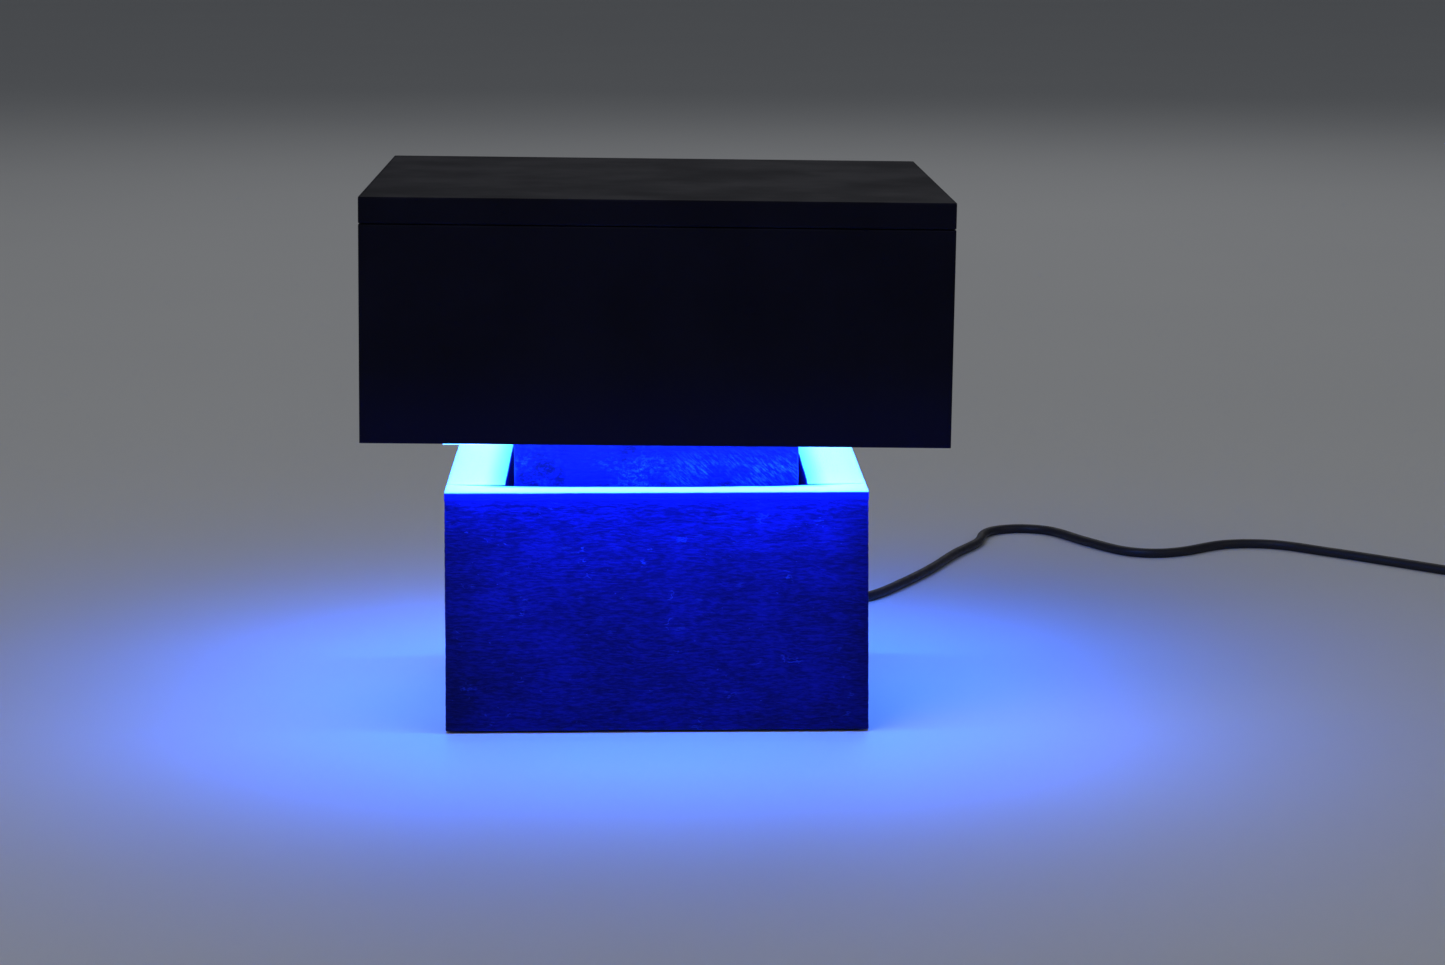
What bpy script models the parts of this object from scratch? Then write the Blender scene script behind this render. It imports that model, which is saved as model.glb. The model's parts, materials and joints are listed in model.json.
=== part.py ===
"""Tabletop blue light station for small resin pieces, built from two nested wooden boxes.

A box base of rough boards carries a hollow box column in its open top. A light head is fixed round
the column, and a lift-off box hood drops over both. The blue light leaves through the slot between
the base's rim and the hood. The lead, its coil and its plug lie on the table behind the base.

Metres, +Z up. The origin is on the table, under the middle of the base. The front looks along -Y.
"""

import math

import bmesh
import bpy
import numpy as np
from mathutils import Vector

MM = 0.001
GAP = 0.3 * MM  # between pieces that touch

# Base
BASE_WIDTH = 150.0 * MM
BASE_DEPTH = 126.0 * MM
BASE_HEIGHT = 87.2 * MM
FRONT_WALL = 15.8 * MM  # front and back boards
SIDE_WALL = 21.3 * MM  # left and right boards
REBATE = 8.0 * MM  # how far the floor board is let into the walls
FLOOR_THICK = 9.0 * MM
FLOOR_RECESS = 0.5 * MM
BOARD_EDGE = 0.5 * MM  # eased edges of the boards

# Foot pads
PAD_PROUD = 0.5 * MM
PAD_THICK = 2.0 * MM
PAD_RADIUS = 5.0 * MM
PAD_FROM_SIDE = 6.65 * MM
PAD_Y = 40.0 * MM

# Column
COLUMN_GAP = 2.7 * MM  # shadow gap between column and base
COLUMN_BOARD = 10.0 * MM
CLEAT = 14.0 * MM
CLEAT_HALF_LENGTH = 30.0 * MM
ARCH_HALF_WIDTH = 34.0 * MM
ARCH_TOP = 62.0 * MM

# Hood
HOOD_WIDTH = 203.0 * MM
HOOD_DEPTH = 179.0 * MM
HOOD_HEIGHT = 84.4 * MM
HOOD_BOARD = 9.0 * MM
HOOD_TILT = math.radians(0.7)  # the handmade column top is a little out of level
LIGHT_SLOT = 20.4 * MM  # rim to hood, at the middle
HOOD_CLEAT_DEPTH = 12.0 * MM
HOOD_CLEAT_HEIGHT = 14.0 * MM
HOOD_CLEAT_PLAY = 1.5 * MM

# Light head
DIFFUSER_BELOW_HOOD = 3.85 * MM
DIFFUSER_THICK = 3.0 * MM
CARRIER_THICK = 3.0 * MM
HEAD_SPACE = 8.75 * MM  # between diffuser and carrier plate
HEAD_PLAY = 0.5 * MM  # round the column
LED_BOARD_THICK = 1.6 * MM
SIDE_LED_BOARD = (12.0 * MM, 84.0 * MM)
FRONT_LED_BOARD = (120.0 * MM, 10.0 * MM)
POST_RADIUS = 3.0 * MM
POST_INSET = 5.5 * MM
ANGLE_LEG = 14.7 * MM
ANGLE_THICK = 1.5 * MM
ANGLE_HALF_LENGTH = 24.0 * MM
ANGLE_SCREW_Y = 16.0 * MM
ANGLE_SCREW_UP = 8.7 * MM

# Screws: head radius, head height, shank radius, shank length
FLOOR_SCREW = (3.0 * MM, 2.2 * MM, 1.5 * MM, 16.0 * MM)
PLATE_SCREW = (2.5 * MM, 1.6 * MM, 1.2 * MM, 10.0 * MM)
ANGLE_SCREW = (3.0 * MM, 2.0 * MM, 1.5 * MM, 8.0 * MM)
HOLE_PLAY = 0.4 * MM
FLOOR_SCREW_X = 57.5 * MM
FLOOR_SCREW_Y = 38.0 * MM

# Service plate, switch and cord relief in the back board
PLATE = (84.0 * MM, 44.0 * MM)
PLATE_THICK = 2.0 * MM
PLATE_WINDOW = (70.0 * MM, 32.0 * MM)
PLATE_Z = 34.0 * MM
PLATE_SCREW_PLACE = (38.5 * MM, 18.5 * MM)
SWITCH_X = -16.0 * MM
BEZEL = (15.0 * MM, 21.0 * MM)
BEZEL_THICK = 2.0 * MM
SWITCH_BODY = (12.6 * MM, 18.6 * MM)
SWITCH_DEPTH = 15.5 * MM  # behind the bezel
SWITCH_WELL = (10.2 * MM, 16.8 * MM)
SWITCH_WELL_DEPTH = 7.1 * MM
ROCKER_WIDTH = 9.4 * MM
ROCKER_SWING = math.radians(10.0)  # each side of level
PIVOT_DEPTH = 2.9 * MM  # pins behind the bezel's face
PIN_RADIUS = 1.0 * MM
PIN_REACH = 5.9 * MM
RELIEF_X = 20.0 * MM
RELIEF_END_Y = 82.0 * MM
RELIEF_HOLE = 4.1 * MM

# Driver and inner leads
DRIVER_LOW = (-8.0 * MM, -34.2 * MM, 66.0 * MM)
DRIVER_HIGH = (28.0 * MM, -12.2 * MM, 144.0 * MM)
LEAD_RADIUS = 1.5 * MM
HEAD_LEAD_RADIUS = 1.25 * MM
HEAD_LEAD_PLACE = (-62.0 * MM, -29.0 * MM)
HEAD_LEAD_HEIGHT = 126.2 * MM
HEAD_LEAD_HOLE = 3.0 * MM

# Supply cord, its coil and its plug
CORD_RADIUS = 2.1 * MM
COIL_CENTRE = (390.9 * MM, 207.0 * MM)
COIL_OUTER = 30.4 * MM  # middle of the outermost turn
COIL_INNER = 17.8 * MM
COIL_LAYERS = 2
PLUG_PLACE = (428.5 * MM, 262.0 * MM)
PLUG_RADIUS = 4.7 * MM

# The cord's own route, from the relief to the coil, and from the coil to the plug
CORD_ROUTE_MM = [
    (20.0, 82.3, 34.0), (20.6, 92.0, 33.2), (25.0, 106.0, 28.0), (35.0, 120.5, 18.5),
    (50.0, 133.0, 9.0), (67.0, 142.5, 3.6), (80.5, 149.0, 2.3), (93.0, 160.0, 2.1),
    (106.5, 183.0, 2.1), (121.5, 213.0, 2.1), (136.0, 248.0, 2.1), (149.0, 274.0, 2.1),
    (154.1, 294.2, 2.1), (160.4, 303.2, 2.1), (170.1, 307.2, 2.1), (180.2, 305.4, 2.1),
    (187.7, 298.6, 2.1), (198.0, 277.8, 2.1), (210.4, 256.7, 2.1), (216.8, 250.6, 2.1),
    (223.9, 247.8, 2.1), (231.5, 248.1, 2.1), (240.9, 252.4, 2.1), (261.9, 267.3, 2.1),
    (283.4, 266.8, 2.1), (305.1, 249.1, 2.1), (328.0, 227.5, 2.1), (348.0, 207.5, 2.1),
    (356.6, 198.9, 2.1),
]
TAIL_ROUTE_MM = [
    (422.3, 225.3, 5.4), (423.8, 236.0, 3.6), (426.0, 247.0, 3.0), (428.0, 255.5, 3.9),
    (428.5, 261.7, 4.7),
]

# Worked out from the sizes above
WALL_BOTTOM = PAD_PROUD
WALL_TOP = WALL_BOTTOM + BASE_HEIGHT
OPENING_X = BASE_WIDTH / 2 - SIDE_WALL
OPENING_Y = BASE_DEPTH / 2 - FRONT_WALL
FLOOR_LOW = WALL_BOTTOM + FLOOR_RECESS
FLOOR_TOP = FLOOR_LOW + FLOOR_THICK
COLUMN_X = OPENING_X - COLUMN_GAP
COLUMN_Y = OPENING_Y - COLUMN_GAP
COLUMN_BOTTOM = FLOOR_TOP + GAP
HOOD_BOTTOM = WALL_TOP + LIGHT_SLOT
HOOD_CENTRE_Z = HOOD_BOTTOM + HOOD_HEIGHT / 2
HOOD_CEILING = HOOD_HEIGHT / 2 - HOOD_BOARD  # above the hood's own centre
DIFFUSER_LOW = HOOD_BOTTOM - DIFFUSER_BELOW_HOOD
CARRIER_LOW = DIFFUSER_LOW + DIFFUSER_THICK + HEAD_SPACE
CARRIER_TOP = CARRIER_LOW + CARRIER_THICK
BACK_FACE = BASE_DEPTH / 2
PIVOT_Y = BACK_FACE + GAP + BEZEL_THICK - PIVOT_DEPTH


def clear_scene():
    """Removes what the new file holds."""
    for thing in list(bpy.data.objects):
        bpy.data.objects.remove(thing, do_unlink=True)


def make_finish(name, colour, roughness, metallic=0.0):
    """A plain material of one colour."""
    finish = bpy.data.materials.new(name)
    finish.use_nodes = True
    shader = finish.node_tree.nodes["Principled BSDF"]
    shader.inputs["Base Color"].default_value = (*colour, 1.0)
    shader.inputs["Roughness"].default_value = roughness
    shader.inputs["Metallic"].default_value = metallic
    return finish


def make_empty(name, location=(0.0, 0.0, 0.0), rotation=(0.0, 0.0, 0.0)):
    """A body's parent, on its joint's axis."""
    empty = bpy.data.objects.new(name, None)
    empty.location = location
    empty.rotation_euler = rotation
    bpy.context.scene.collection.objects.link(empty)
    return empty


def add_object(name, data, finish, parent, location=(0.0, 0.0, 0.0), rotation=None):
    """Links a mesh or curve as a node of its own."""
    item = bpy.data.objects.new(name, data)
    bpy.context.scene.collection.objects.link(item)
    item.location = location
    if rotation is not None:
        item.rotation_euler = rotation
    if parent is not None:
        item.parent = parent
    if finish is not None:
        data.materials.clear()
        data.materials.append(finish)
    return item


def mesh_from(name, form):
    """A mesh of what is in a bmesh, which is freed."""
    bmesh.ops.recalc_face_normals(form, faces=form.faces)
    mesh = bpy.data.meshes.new(name)
    form.to_mesh(mesh)
    form.free()
    return mesh


def ease_edges(item, width=BOARD_EDGE, segments=1):
    """Takes the sharpness off a piece's edges."""
    bevel = item.modifiers.new("eased_edges", "BEVEL")
    bevel.width = width
    bevel.segments = segments
    bevel.limit_method = "ANGLE"
    return item


def add_box(name, low, high, finish, parent, top_at=None, eased=BOARD_EDGE):
    """A board between two corners. top_at(x) gives the height of a sloped top."""
    low, high = Vector(low), Vector(high)
    centre = (low + high) / 2
    form = bmesh.new()
    bmesh.ops.create_cube(form, size=1.0)
    bmesh.ops.scale(form, vec=high - low, verts=form.verts)
    if top_at is not None:
        for vert in form.verts:
            if vert.co.z > 0:
                vert.co.z = top_at(centre.x + vert.co.x) - centre.z
    item = add_object(name, mesh_from(name, form), finish, parent, centre)
    if eased:
        ease_edges(item, eased)
    return item


def turned_mesh(name, profile, segments=24):
    """A solid turned round Z from (radius, height) points that start and end on the axis."""
    form = bmesh.new()
    verts = [form.verts.new((radius, 0.0, height)) for radius, height in profile]
    edges = [form.edges.new(pair) for pair in zip(verts, verts[1:])]
    bmesh.ops.spin(
        form, geom=verts + edges, axis=(0, 0, 1), cent=(0, 0, 0), angle=math.tau,
        steps=segments, use_merge=True,
    )
    bmesh.ops.remove_doubles(form, verts=form.verts, dist=1e-6)
    mesh = mesh_from(name, form)
    mesh.shade_smooth()
    mesh.set_sharp_from_angle(angle=math.radians(35))
    return mesh


def disc_profile(radius, height):
    """The profile of a plain cylinder that stands on its origin."""
    return [(0.0, 0.0), (radius, 0.0), (radius, height), (0.0, height)]


def screw_mesh(name, sizes):
    """A pan-head screw along +Z: its head's underside is at the origin and its shank points down."""
    head_radius, head_height, shank_radius, shank_length = sizes
    return turned_mesh(name, [
        (0.0, -shank_length), (shank_radius * 0.5, -shank_length),
        (shank_radius, -shank_length + shank_radius), (shank_radius, 0.0),
        (head_radius, 0.0), (head_radius, head_height * 0.45),
        (head_radius * 0.72, head_height), (0.0, head_height),
    ], 16)


def direction_turn(axis):
    """The rotation that takes +Z to an axis."""
    return Vector(axis).to_track_quat("Z", "Y").to_euler()


def make_cutter(name, mesh, location, rotation=None):
    """A shape that only cuts, left out of the build."""
    cutter = add_object(name, mesh, None, None, location, rotation)
    cutter.hide_render = True
    cutter.display_type = "WIRE"
    return cutter


def box_cutter(name, low, high):
    """A cutter between two corners."""
    low, high = Vector(low), Vector(high)
    form = bmesh.new()
    bmesh.ops.create_cube(form, size=1.0)
    bmesh.ops.scale(form, vec=high - low, verts=form.verts)
    return make_cutter(name, mesh_from(name, form), (low + high) / 2)


def hole_cutter(name, start, axis, radius, depth):
    """A round cutter that runs from a point along an axis."""
    mesh = turned_mesh(name, disc_profile(radius, depth), 20)
    return make_cutter(name, mesh, start, direction_turn(axis))


def cut(item, *cutters):
    """Takes the cutters' shapes away from a piece."""
    for cutter in cutters:
        boolean = item.modifiers.new(cutter.name, "BOOLEAN")
        boolean.operation = "DIFFERENCE"
        boolean.solver = "EXACT"
        boolean.object = cutter
    return item


def join(item, *others):
    """Unions shapes that are left out of the build into a piece."""
    for other in others:
        boolean = item.modifiers.new(other.name, "BOOLEAN")
        boolean.operation = "UNION"
        boolean.solver = "EXACT"
        boolean.object = other
    return item


def corner_signs():
    """The four corners, front left first."""
    return [("front_left", -1, -1), ("front_right", 1, -1), ("back_left", -1, 1), ("back_right", 1, 1)]


def smooth_route(points_mm, spacing):
    """Evenly spaced points, in metres, on a smooth curve through a route's own points."""
    points = np.array(points_mm, float) * MM
    chord = np.linalg.norm(np.diff(points, axis=0), axis=1)
    at = np.concatenate([[0.0], np.cumsum(chord)])
    slopes = np.empty_like(points)
    for i in range(len(points)):
        before, after = max(i - 1, 0), min(i + 1, len(points) - 1)
        slopes[i] = (points[after] - points[before]) / (at[after] - at[before])
    fine = []
    for i, length in enumerate(chord):
        for t in np.linspace(0.0, 1.0, 24, endpoint=False):
            fine.append(
                (2 * t**3 - 3 * t**2 + 1) * points[i] + (t**3 - 2 * t**2 + t) * length * slopes[i]
                + (3 * t**2 - 2 * t**3) * points[i + 1] + (t**3 - t**2) * length * slopes[i + 1]
            )
    fine = np.array([*fine, points[-1]])
    run = np.concatenate([[0.0], np.cumsum(np.linalg.norm(np.diff(fine, axis=0), axis=1))])
    places = np.linspace(0.0, run[-1], max(2, round(run[-1] / spacing) + 1))
    return np.stack([np.interp(places, run, fine[:, k]) for k in range(3)], axis=1)


def add_tube(name, points_mm, radius, finish, parent, spacing):
    """A round lead along a smooth route, with closed ends."""
    curve = bpy.data.curves.new(name, "CURVE")
    curve.dimensions = "3D"
    curve.bevel_depth = radius
    curve.bevel_resolution = 2
    curve.use_fill_caps = True
    points = smooth_route(points_mm, spacing)
    spline = curve.splines.new("POLY")
    spline.points.add(len(points) - 1)
    for slot, point in zip(spline.points, points):
        slot.co = (*point, 1.0)
    return add_object(name, curve, finish, parent)


def seat_height(x):
    """The underside of the hood's top board above a place in the world, less the gap."""
    slope = math.tan(HOOD_TILT)
    return HOOD_CENTRE_Z + HOOD_CEILING / math.cos(HOOD_TILT) - x * slope - GAP


def build_base_walls(finish, body):
    """Front and back boards run the full width, and the side boards stand between them."""
    half_x, half_y = BASE_WIDTH / 2, BASE_DEPTH / 2
    side_y = OPENING_Y - GAP
    walls = {
        "base_front_board": ((-half_x, -half_y), (half_x, -OPENING_Y)),
        "base_back_board": ((-half_x, OPENING_Y), (half_x, half_y)),
        "base_left_board": ((-half_x, -side_y), (-OPENING_X, side_y)),
        "base_right_board": ((OPENING_X, -side_y), (half_x, side_y)),
    }
    rebate_x, rebate_y = OPENING_X + REBATE, OPENING_Y + REBATE
    rebate = box_cutter(
        "floor_rebate_cutter", (-rebate_x, -rebate_y, -GAP), (rebate_x, rebate_y, FLOOR_TOP + GAP)
    )
    boards = {}
    for name, (low, high) in walls.items():
        board = add_box(name, (*low, WALL_BOTTOM), (*high, WALL_TOP), finish, body)
        boards[name] = cut(board, rebate)
    return boards


def build_floor(wood, steel, body, boards):
    """The floor board in its rebate, held up by four screws from below."""
    half_x, half_y = OPENING_X + REBATE - GAP, OPENING_Y + REBATE - GAP
    floor = add_box(
        "base_floor_board", (-half_x, -half_y, FLOOR_LOW), (half_x, half_y, FLOOR_TOP), wood, body
    )
    head_radius, head_height, shank_radius, shank_length = FLOOR_SCREW
    head_top = FLOOR_LOW + GAP + head_height
    mesh = screw_mesh("floor_screw", FLOOR_SCREW)
    for corner, sx, sy in corner_signs():
        x, y = sx * FLOOR_SCREW_X, sy * FLOOR_SCREW_Y
        cut(
            floor,
            hole_cutter(
                f"floor_sink_{corner}", (x, y, 0), (0, 0, 1), head_radius + HOLE_PLAY, head_top + GAP
            ),
            hole_cutter(
                f"floor_hole_{corner}", (x, y, 0), (0, 0, 1), shank_radius + HOLE_PLAY, FLOOR_TOP + MM
            ),
        )
        side = boards["base_left_board" if sx < 0 else "base_right_board"]
        cut(side, hole_cutter(
            f"side_hole_{corner}", (x, y, FLOOR_TOP - MM), (0, 0, 1), shank_radius + HOLE_PLAY,
            head_top + shank_length + GAP - FLOOR_TOP + MM,
        ))
        add_object(f"floor_screw_{corner}", mesh, steel, body, (x, y, head_top), (math.pi, 0, 0))


def build_feet(rubber, body, boards):
    """Thin round pads let into the side boards' undersides."""
    x = BASE_WIDTH / 2 - PAD_FROM_SIDE
    mesh = turned_mesh("foot_pad", disc_profile(PAD_RADIUS, PAD_THICK), 24)
    for corner, sx, sy in corner_signs():
        side = boards["base_left_board" if sx < 0 else "base_right_board"]
        place = (sx * x, sy * PAD_Y, 0.0)
        cut(side, hole_cutter(
            f"pad_pocket_{corner}", place, (0, 0, 1), PAD_RADIUS + HOLE_PLAY, PAD_THICK + GAP
        ))
        add_object(f"foot_pad_{corner}", mesh, rubber, body, place)


def build_service_plate(metal, steel, body, boards):
    """The plate over the window in the back board, flush with the board's face."""
    back = boards["base_back_board"]
    half_w, half_h = PLATE[0] / 2, PLATE[1] / 2
    window_w, window_h = PLATE_WINDOW[0] / 2, PLATE_WINDOW[1] / 2
    seat = BACK_FACE - PLATE_THICK - GAP
    cut(
        back,
        box_cutter(
            "plate_seat_cutter", (-half_w - GAP, seat, PLATE_Z - half_h - GAP),
            (half_w + GAP, BACK_FACE + MM, PLATE_Z + half_h + GAP),
        ),
        box_cutter(
            "plate_window_cutter", (-window_w, OPENING_Y - MM, PLATE_Z - window_h),
            (window_w, BACK_FACE + MM, PLATE_Z + window_h),
        ),
    )
    plate = add_box(
        "service_plate", (-half_w, BACK_FACE - PLATE_THICK, PLATE_Z - half_h),
        (half_w, BACK_FACE, PLATE_Z + half_h), metal, body, eased=0.0,
    )
    body_w, body_h = SWITCH_BODY[0] / 2 + GAP, SWITCH_BODY[1] / 2 + GAP
    plate_low, plate_high = BACK_FACE - PLATE_THICK - MM, BACK_FACE + MM
    cut(
        plate,
        box_cutter(
            "switch_cutout", (SWITCH_X - body_w, plate_low, PLATE_Z - body_h),
            (SWITCH_X + body_w, plate_high, PLATE_Z + body_h),
        ),
        hole_cutter(
            "relief_hole", (RELIEF_X, plate_low, PLATE_Z), (0, 1, 0), RELIEF_HOLE, plate_high - plate_low
        ),
    )
    shank_radius, shank_length = PLATE_SCREW[2], PLATE_SCREW[3]
    mesh = screw_mesh("plate_screw", PLATE_SCREW)
    for corner, sx, sz in corner_signs():
        name = corner.replace("front", "low").replace("back", "high")
        x, z = sx * PLATE_SCREW_PLACE[0], PLATE_Z + sz * PLATE_SCREW_PLACE[1]
        hole = hole_cutter(
            f"plate_screw_hole_{name}", (x, BACK_FACE + MM, z), (0, -1, 0), shank_radius + HOLE_PLAY,
            shank_length + MM + GAP,
        )
        cut(plate, hole)
        cut(back, hole)
        add_object(
            f"plate_screw_{name}", mesh, steel, body, (x, BACK_FACE + GAP, z), direction_turn((0, 1, 0))
        )


def build_switch(plastic, body, switch_body):
    """The rocker switch: a housing that snaps into the plate, and a rocker on two stub pins."""
    bezel_low = BACK_FACE + GAP
    housing = add_box(
        "switch_housing", (SWITCH_X - BEZEL[0] / 2, bezel_low, PLATE_Z - BEZEL[1] / 2),
        (SWITCH_X + BEZEL[0] / 2, bezel_low + BEZEL_THICK, PLATE_Z + BEZEL[1] / 2), plastic, body,
    )
    trunk_w, trunk_h = SWITCH_BODY[0] / 2, SWITCH_BODY[1] / 2
    trunk = box_cutter(
        "switch_trunk", (SWITCH_X - trunk_w, bezel_low - SWITCH_DEPTH, PLATE_Z - trunk_h),
        (SWITCH_X + trunk_w, bezel_low + MM, PLATE_Z + trunk_h),
    )
    join(housing, trunk)
    face = bezel_low + BEZEL_THICK
    well_w, well_h = SWITCH_WELL[0] / 2, SWITCH_WELL[1] / 2
    pin_start = (SWITCH_X - BEZEL[0], PIVOT_Y, PLATE_Z)
    cut(
        housing,
        box_cutter(
            "switch_well", (SWITCH_X - well_w, face - SWITCH_WELL_DEPTH, PLATE_Z - well_h),
            (SWITCH_X + well_w, face + MM, PLATE_Z + well_h),
        ),
        hole_cutter("switch_pin_hole", pin_start, (1, 0, 0), PIN_RADIUS + GAP, 2 * BEZEL[0]),
    )
    build_rocker(plastic, switch_body)


def build_rocker(plastic, switch_body):
    """The rocker, modelled level round its pins and tipped by its parent to the on position."""
    outline = [(-7.4, 3.9), (0.0, 2.6), (7.4, 3.9), (7.4, 0.4), (3.2, -3.0), (-3.2, -3.0), (-7.4, 0.4)]
    form = bmesh.new()
    left = [form.verts.new((-ROCKER_WIDTH / 2, y * MM, z * MM)) for z, y in outline]
    face = form.faces.new(left)
    grown = bmesh.ops.extrude_face_region(form, geom=[face])
    moved = [v for v in grown["geom"] if isinstance(v, bmesh.types.BMVert)]
    bmesh.ops.translate(form, vec=(ROCKER_WIDTH, 0, 0), verts=moved)
    rocker = add_object("switch_rocker", mesh_from("switch_rocker", form), plastic, switch_body)
    pin = make_cutter(
        "rocker_pins", turned_mesh("rocker_pins", disc_profile(PIN_RADIUS, 2 * PIN_REACH), 16),
        (-PIN_REACH, 0, 0), direction_turn((1, 0, 0)),
    )
    pin.parent = switch_body
    join(rocker, pin)


def build_cord_relief(plastic):
    """The turned relief that snaps into the plate and tapers along the cord."""
    inner = BACK_FACE - 8.0 * MM
    profile = [
        (0.0, inner), (3.2 * MM, inner), (3.8 * MM, inner + MM), (3.8 * MM, BACK_FACE + GAP),
        (6.0 * MM, BACK_FACE + GAP), (6.0 * MM, BACK_FACE + 2.2 * MM), (5.2 * MM, BACK_FACE + 3.0 * MM),
        (4.4 * MM, BACK_FACE + 3.4 * MM), (3.0 * MM, RELIEF_END_Y), (0.0, RELIEF_END_Y),
    ]
    mesh = turned_mesh("cord_relief", profile, 24)
    add_object("cord_relief", mesh, plastic, None, (RELIEF_X, 0, PLATE_Z), direction_turn((0, 1, 0)))


def build_column(wood, body):
    """The hollow column. Its top follows the hood's underside, and its back board has a wiring arch."""
    side_y = COLUMN_Y - COLUMN_BOARD - GAP
    boards = {
        "column_front_board": ((-COLUMN_X, -COLUMN_Y), (COLUMN_X, -COLUMN_Y + COLUMN_BOARD)),
        "column_back_board": ((-COLUMN_X, COLUMN_Y - COLUMN_BOARD), (COLUMN_X, COLUMN_Y)),
        "column_left_board": ((-COLUMN_X, -side_y), (-COLUMN_X + COLUMN_BOARD, side_y)),
        "column_right_board": ((COLUMN_X - COLUMN_BOARD, -side_y), (COLUMN_X, side_y)),
    }
    made = {}
    for name, (low, high) in boards.items():
        made[name] = add_box(
            name, (*low, COLUMN_BOTTOM), (*high, seat_height(0.0)), wood, body, top_at=seat_height
        )
    cut(made["column_back_board"], box_cutter(
        "wiring_arch_cutter", (-ARCH_HALF_WIDTH, 0.0, 0.0), (ARCH_HALF_WIDTH, BASE_DEPTH, ARCH_TOP)
    ))
    cut(made["column_left_board"], hole_cutter(
        "head_lead_hole", (-BASE_WIDTH / 2, HEAD_LEAD_PLACE[1], HEAD_LEAD_HEIGHT), (1, 0, 0), HEAD_LEAD_HOLE,
        BASE_WIDTH / 2,
    ))
    inner = COLUMN_X - COLUMN_BOARD - GAP
    for side, sign in (("left", -1), ("right", 1)):
        near, far = sorted((sign * inner, sign * (inner - CLEAT)))
        add_box(
            f"column_cleat_{side}", (near, -CLEAT_HALF_LENGTH, COLUMN_BOTTOM),
            (far, CLEAT_HALF_LENGTH, COLUMN_BOTTOM + CLEAT), wood, body,
        )
    return made


def ring_plate(name, low_z, thickness, finish, body):
    """A flat plate of the base's outline with an opening for the column."""
    plate = add_box(
        name, (-BASE_WIDTH / 2, -BASE_DEPTH / 2, low_z), (BASE_WIDTH / 2, BASE_DEPTH / 2, low_z + thickness),
        finish, body, eased=0.0,
    )
    inner_x, inner_y = COLUMN_X + HEAD_PLAY, COLUMN_Y + HEAD_PLAY
    cutter = box_cutter(
        f"{name}_opening", (-inner_x, -inner_y, low_z - MM), (inner_x, inner_y, low_z + thickness + MM)
    )
    return cut(plate, cutter)


def build_light_head(finishes, body, column):
    """The carrier plate on two angles, four LED boards under it, and the diffuser on four posts."""
    carrier = ring_plate("carrier_plate", CARRIER_LOW, CARRIER_THICK, finishes["aluminium"], body)
    cut(carrier, hole_cutter(
        "carrier_lead_hole", (*HEAD_LEAD_PLACE, CARRIER_LOW - MM), (0, 0, 1), HEAD_LEAD_HOLE,
        CARRIER_THICK + 2 * MM,
    ))
    ring_plate("diffuser", DIFFUSER_LOW, DIFFUSER_THICK, finishes["diffuser"], body)

    post = turned_mesh("diffuser_post", disc_profile(POST_RADIUS, HEAD_SPACE - 2 * GAP), 16)
    post_x, post_y = BASE_WIDTH / 2 - POST_INSET, BASE_DEPTH / 2 - POST_INSET
    post_z = DIFFUSER_LOW + DIFFUSER_THICK + GAP
    for corner, sx, sy in corner_signs():
        add_object(
            f"diffuser_post_{corner}", post, finishes["aluminium"], body, (sx * post_x, sy * post_y, post_z)
        )

    board_top = CARRIER_LOW - GAP
    middle_x, middle_y = (BASE_WIDTH / 2 + COLUMN_X) / 2, (BASE_DEPTH / 2 + COLUMN_Y) / 2
    places = {
        "led_board_front": (0.0, -middle_y, FRONT_LED_BOARD),
        "led_board_back": (0.0, middle_y, FRONT_LED_BOARD),
        "led_board_left": (-middle_x, 0.0, SIDE_LED_BOARD),
        "led_board_right": (middle_x, 0.0, SIDE_LED_BOARD),
    }
    for name, (x, y, (width, depth)) in places.items():
        add_box(
            name, (x - width / 2, y - depth / 2, board_top - LED_BOARD_THICK),
            (x + width / 2, y + depth / 2, board_top), finishes["led_board"], body, eased=0.0,
        )
    build_angles(finishes, body, column)


def build_angles(finishes, body, column):
    """Two angle brackets between the column's sides and the carrier plate, each with two screws."""
    screw = screw_mesh("angle_screw", ANGLE_SCREW)
    shank_radius, shank_length = ANGLE_SCREW[2], ANGLE_SCREW[3]
    for side, sign in (("left", -1), ("right", 1)):
        near, low = COLUMN_X + GAP, CARRIER_TOP + GAP
        outline = [
            (near, low), (near + ANGLE_LEG, low), (near + ANGLE_LEG, low + ANGLE_THICK),
            (near + ANGLE_THICK, low + ANGLE_THICK), (near + ANGLE_THICK, low + ANGLE_LEG),
            (near, low + ANGLE_LEG),
        ]
        form = bmesh.new()
        face = form.faces.new([form.verts.new((sign * x, -ANGLE_HALF_LENGTH, z)) for x, z in outline])
        grown = bmesh.ops.extrude_face_region(form, geom=[face])
        moved = [v for v in grown["geom"] if isinstance(v, bmesh.types.BMVert)]
        bmesh.ops.translate(form, vec=(0, 2 * ANGLE_HALF_LENGTH, 0), verts=moved)
        name = f"head_angle_{side}"
        angle = add_object(name, mesh_from(name, form), finishes["aluminium"], body)
        for end, sy in (("front", -1), ("back", 1)):
            z = low + ANGLE_SCREW_UP
            head_seat = near + ANGLE_THICK + GAP
            hole = hole_cutter(
                f"angle_hole_{side}_{end}", (sign * (head_seat + MM), sy * ANGLE_SCREW_Y, z), (-sign, 0, 0),
                shank_radius + HOLE_PLAY, shank_length + MM + GAP,
            )
            cut(angle, hole)
            cut(column[f"column_{side}_board"], hole)
            add_object(
                f"angle_screw_{side}_{end}", screw, finishes["steel"], body,
                (sign * head_seat, sy * ANGLE_SCREW_Y, z), direction_turn((sign, 0, 0)),
            )


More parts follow.
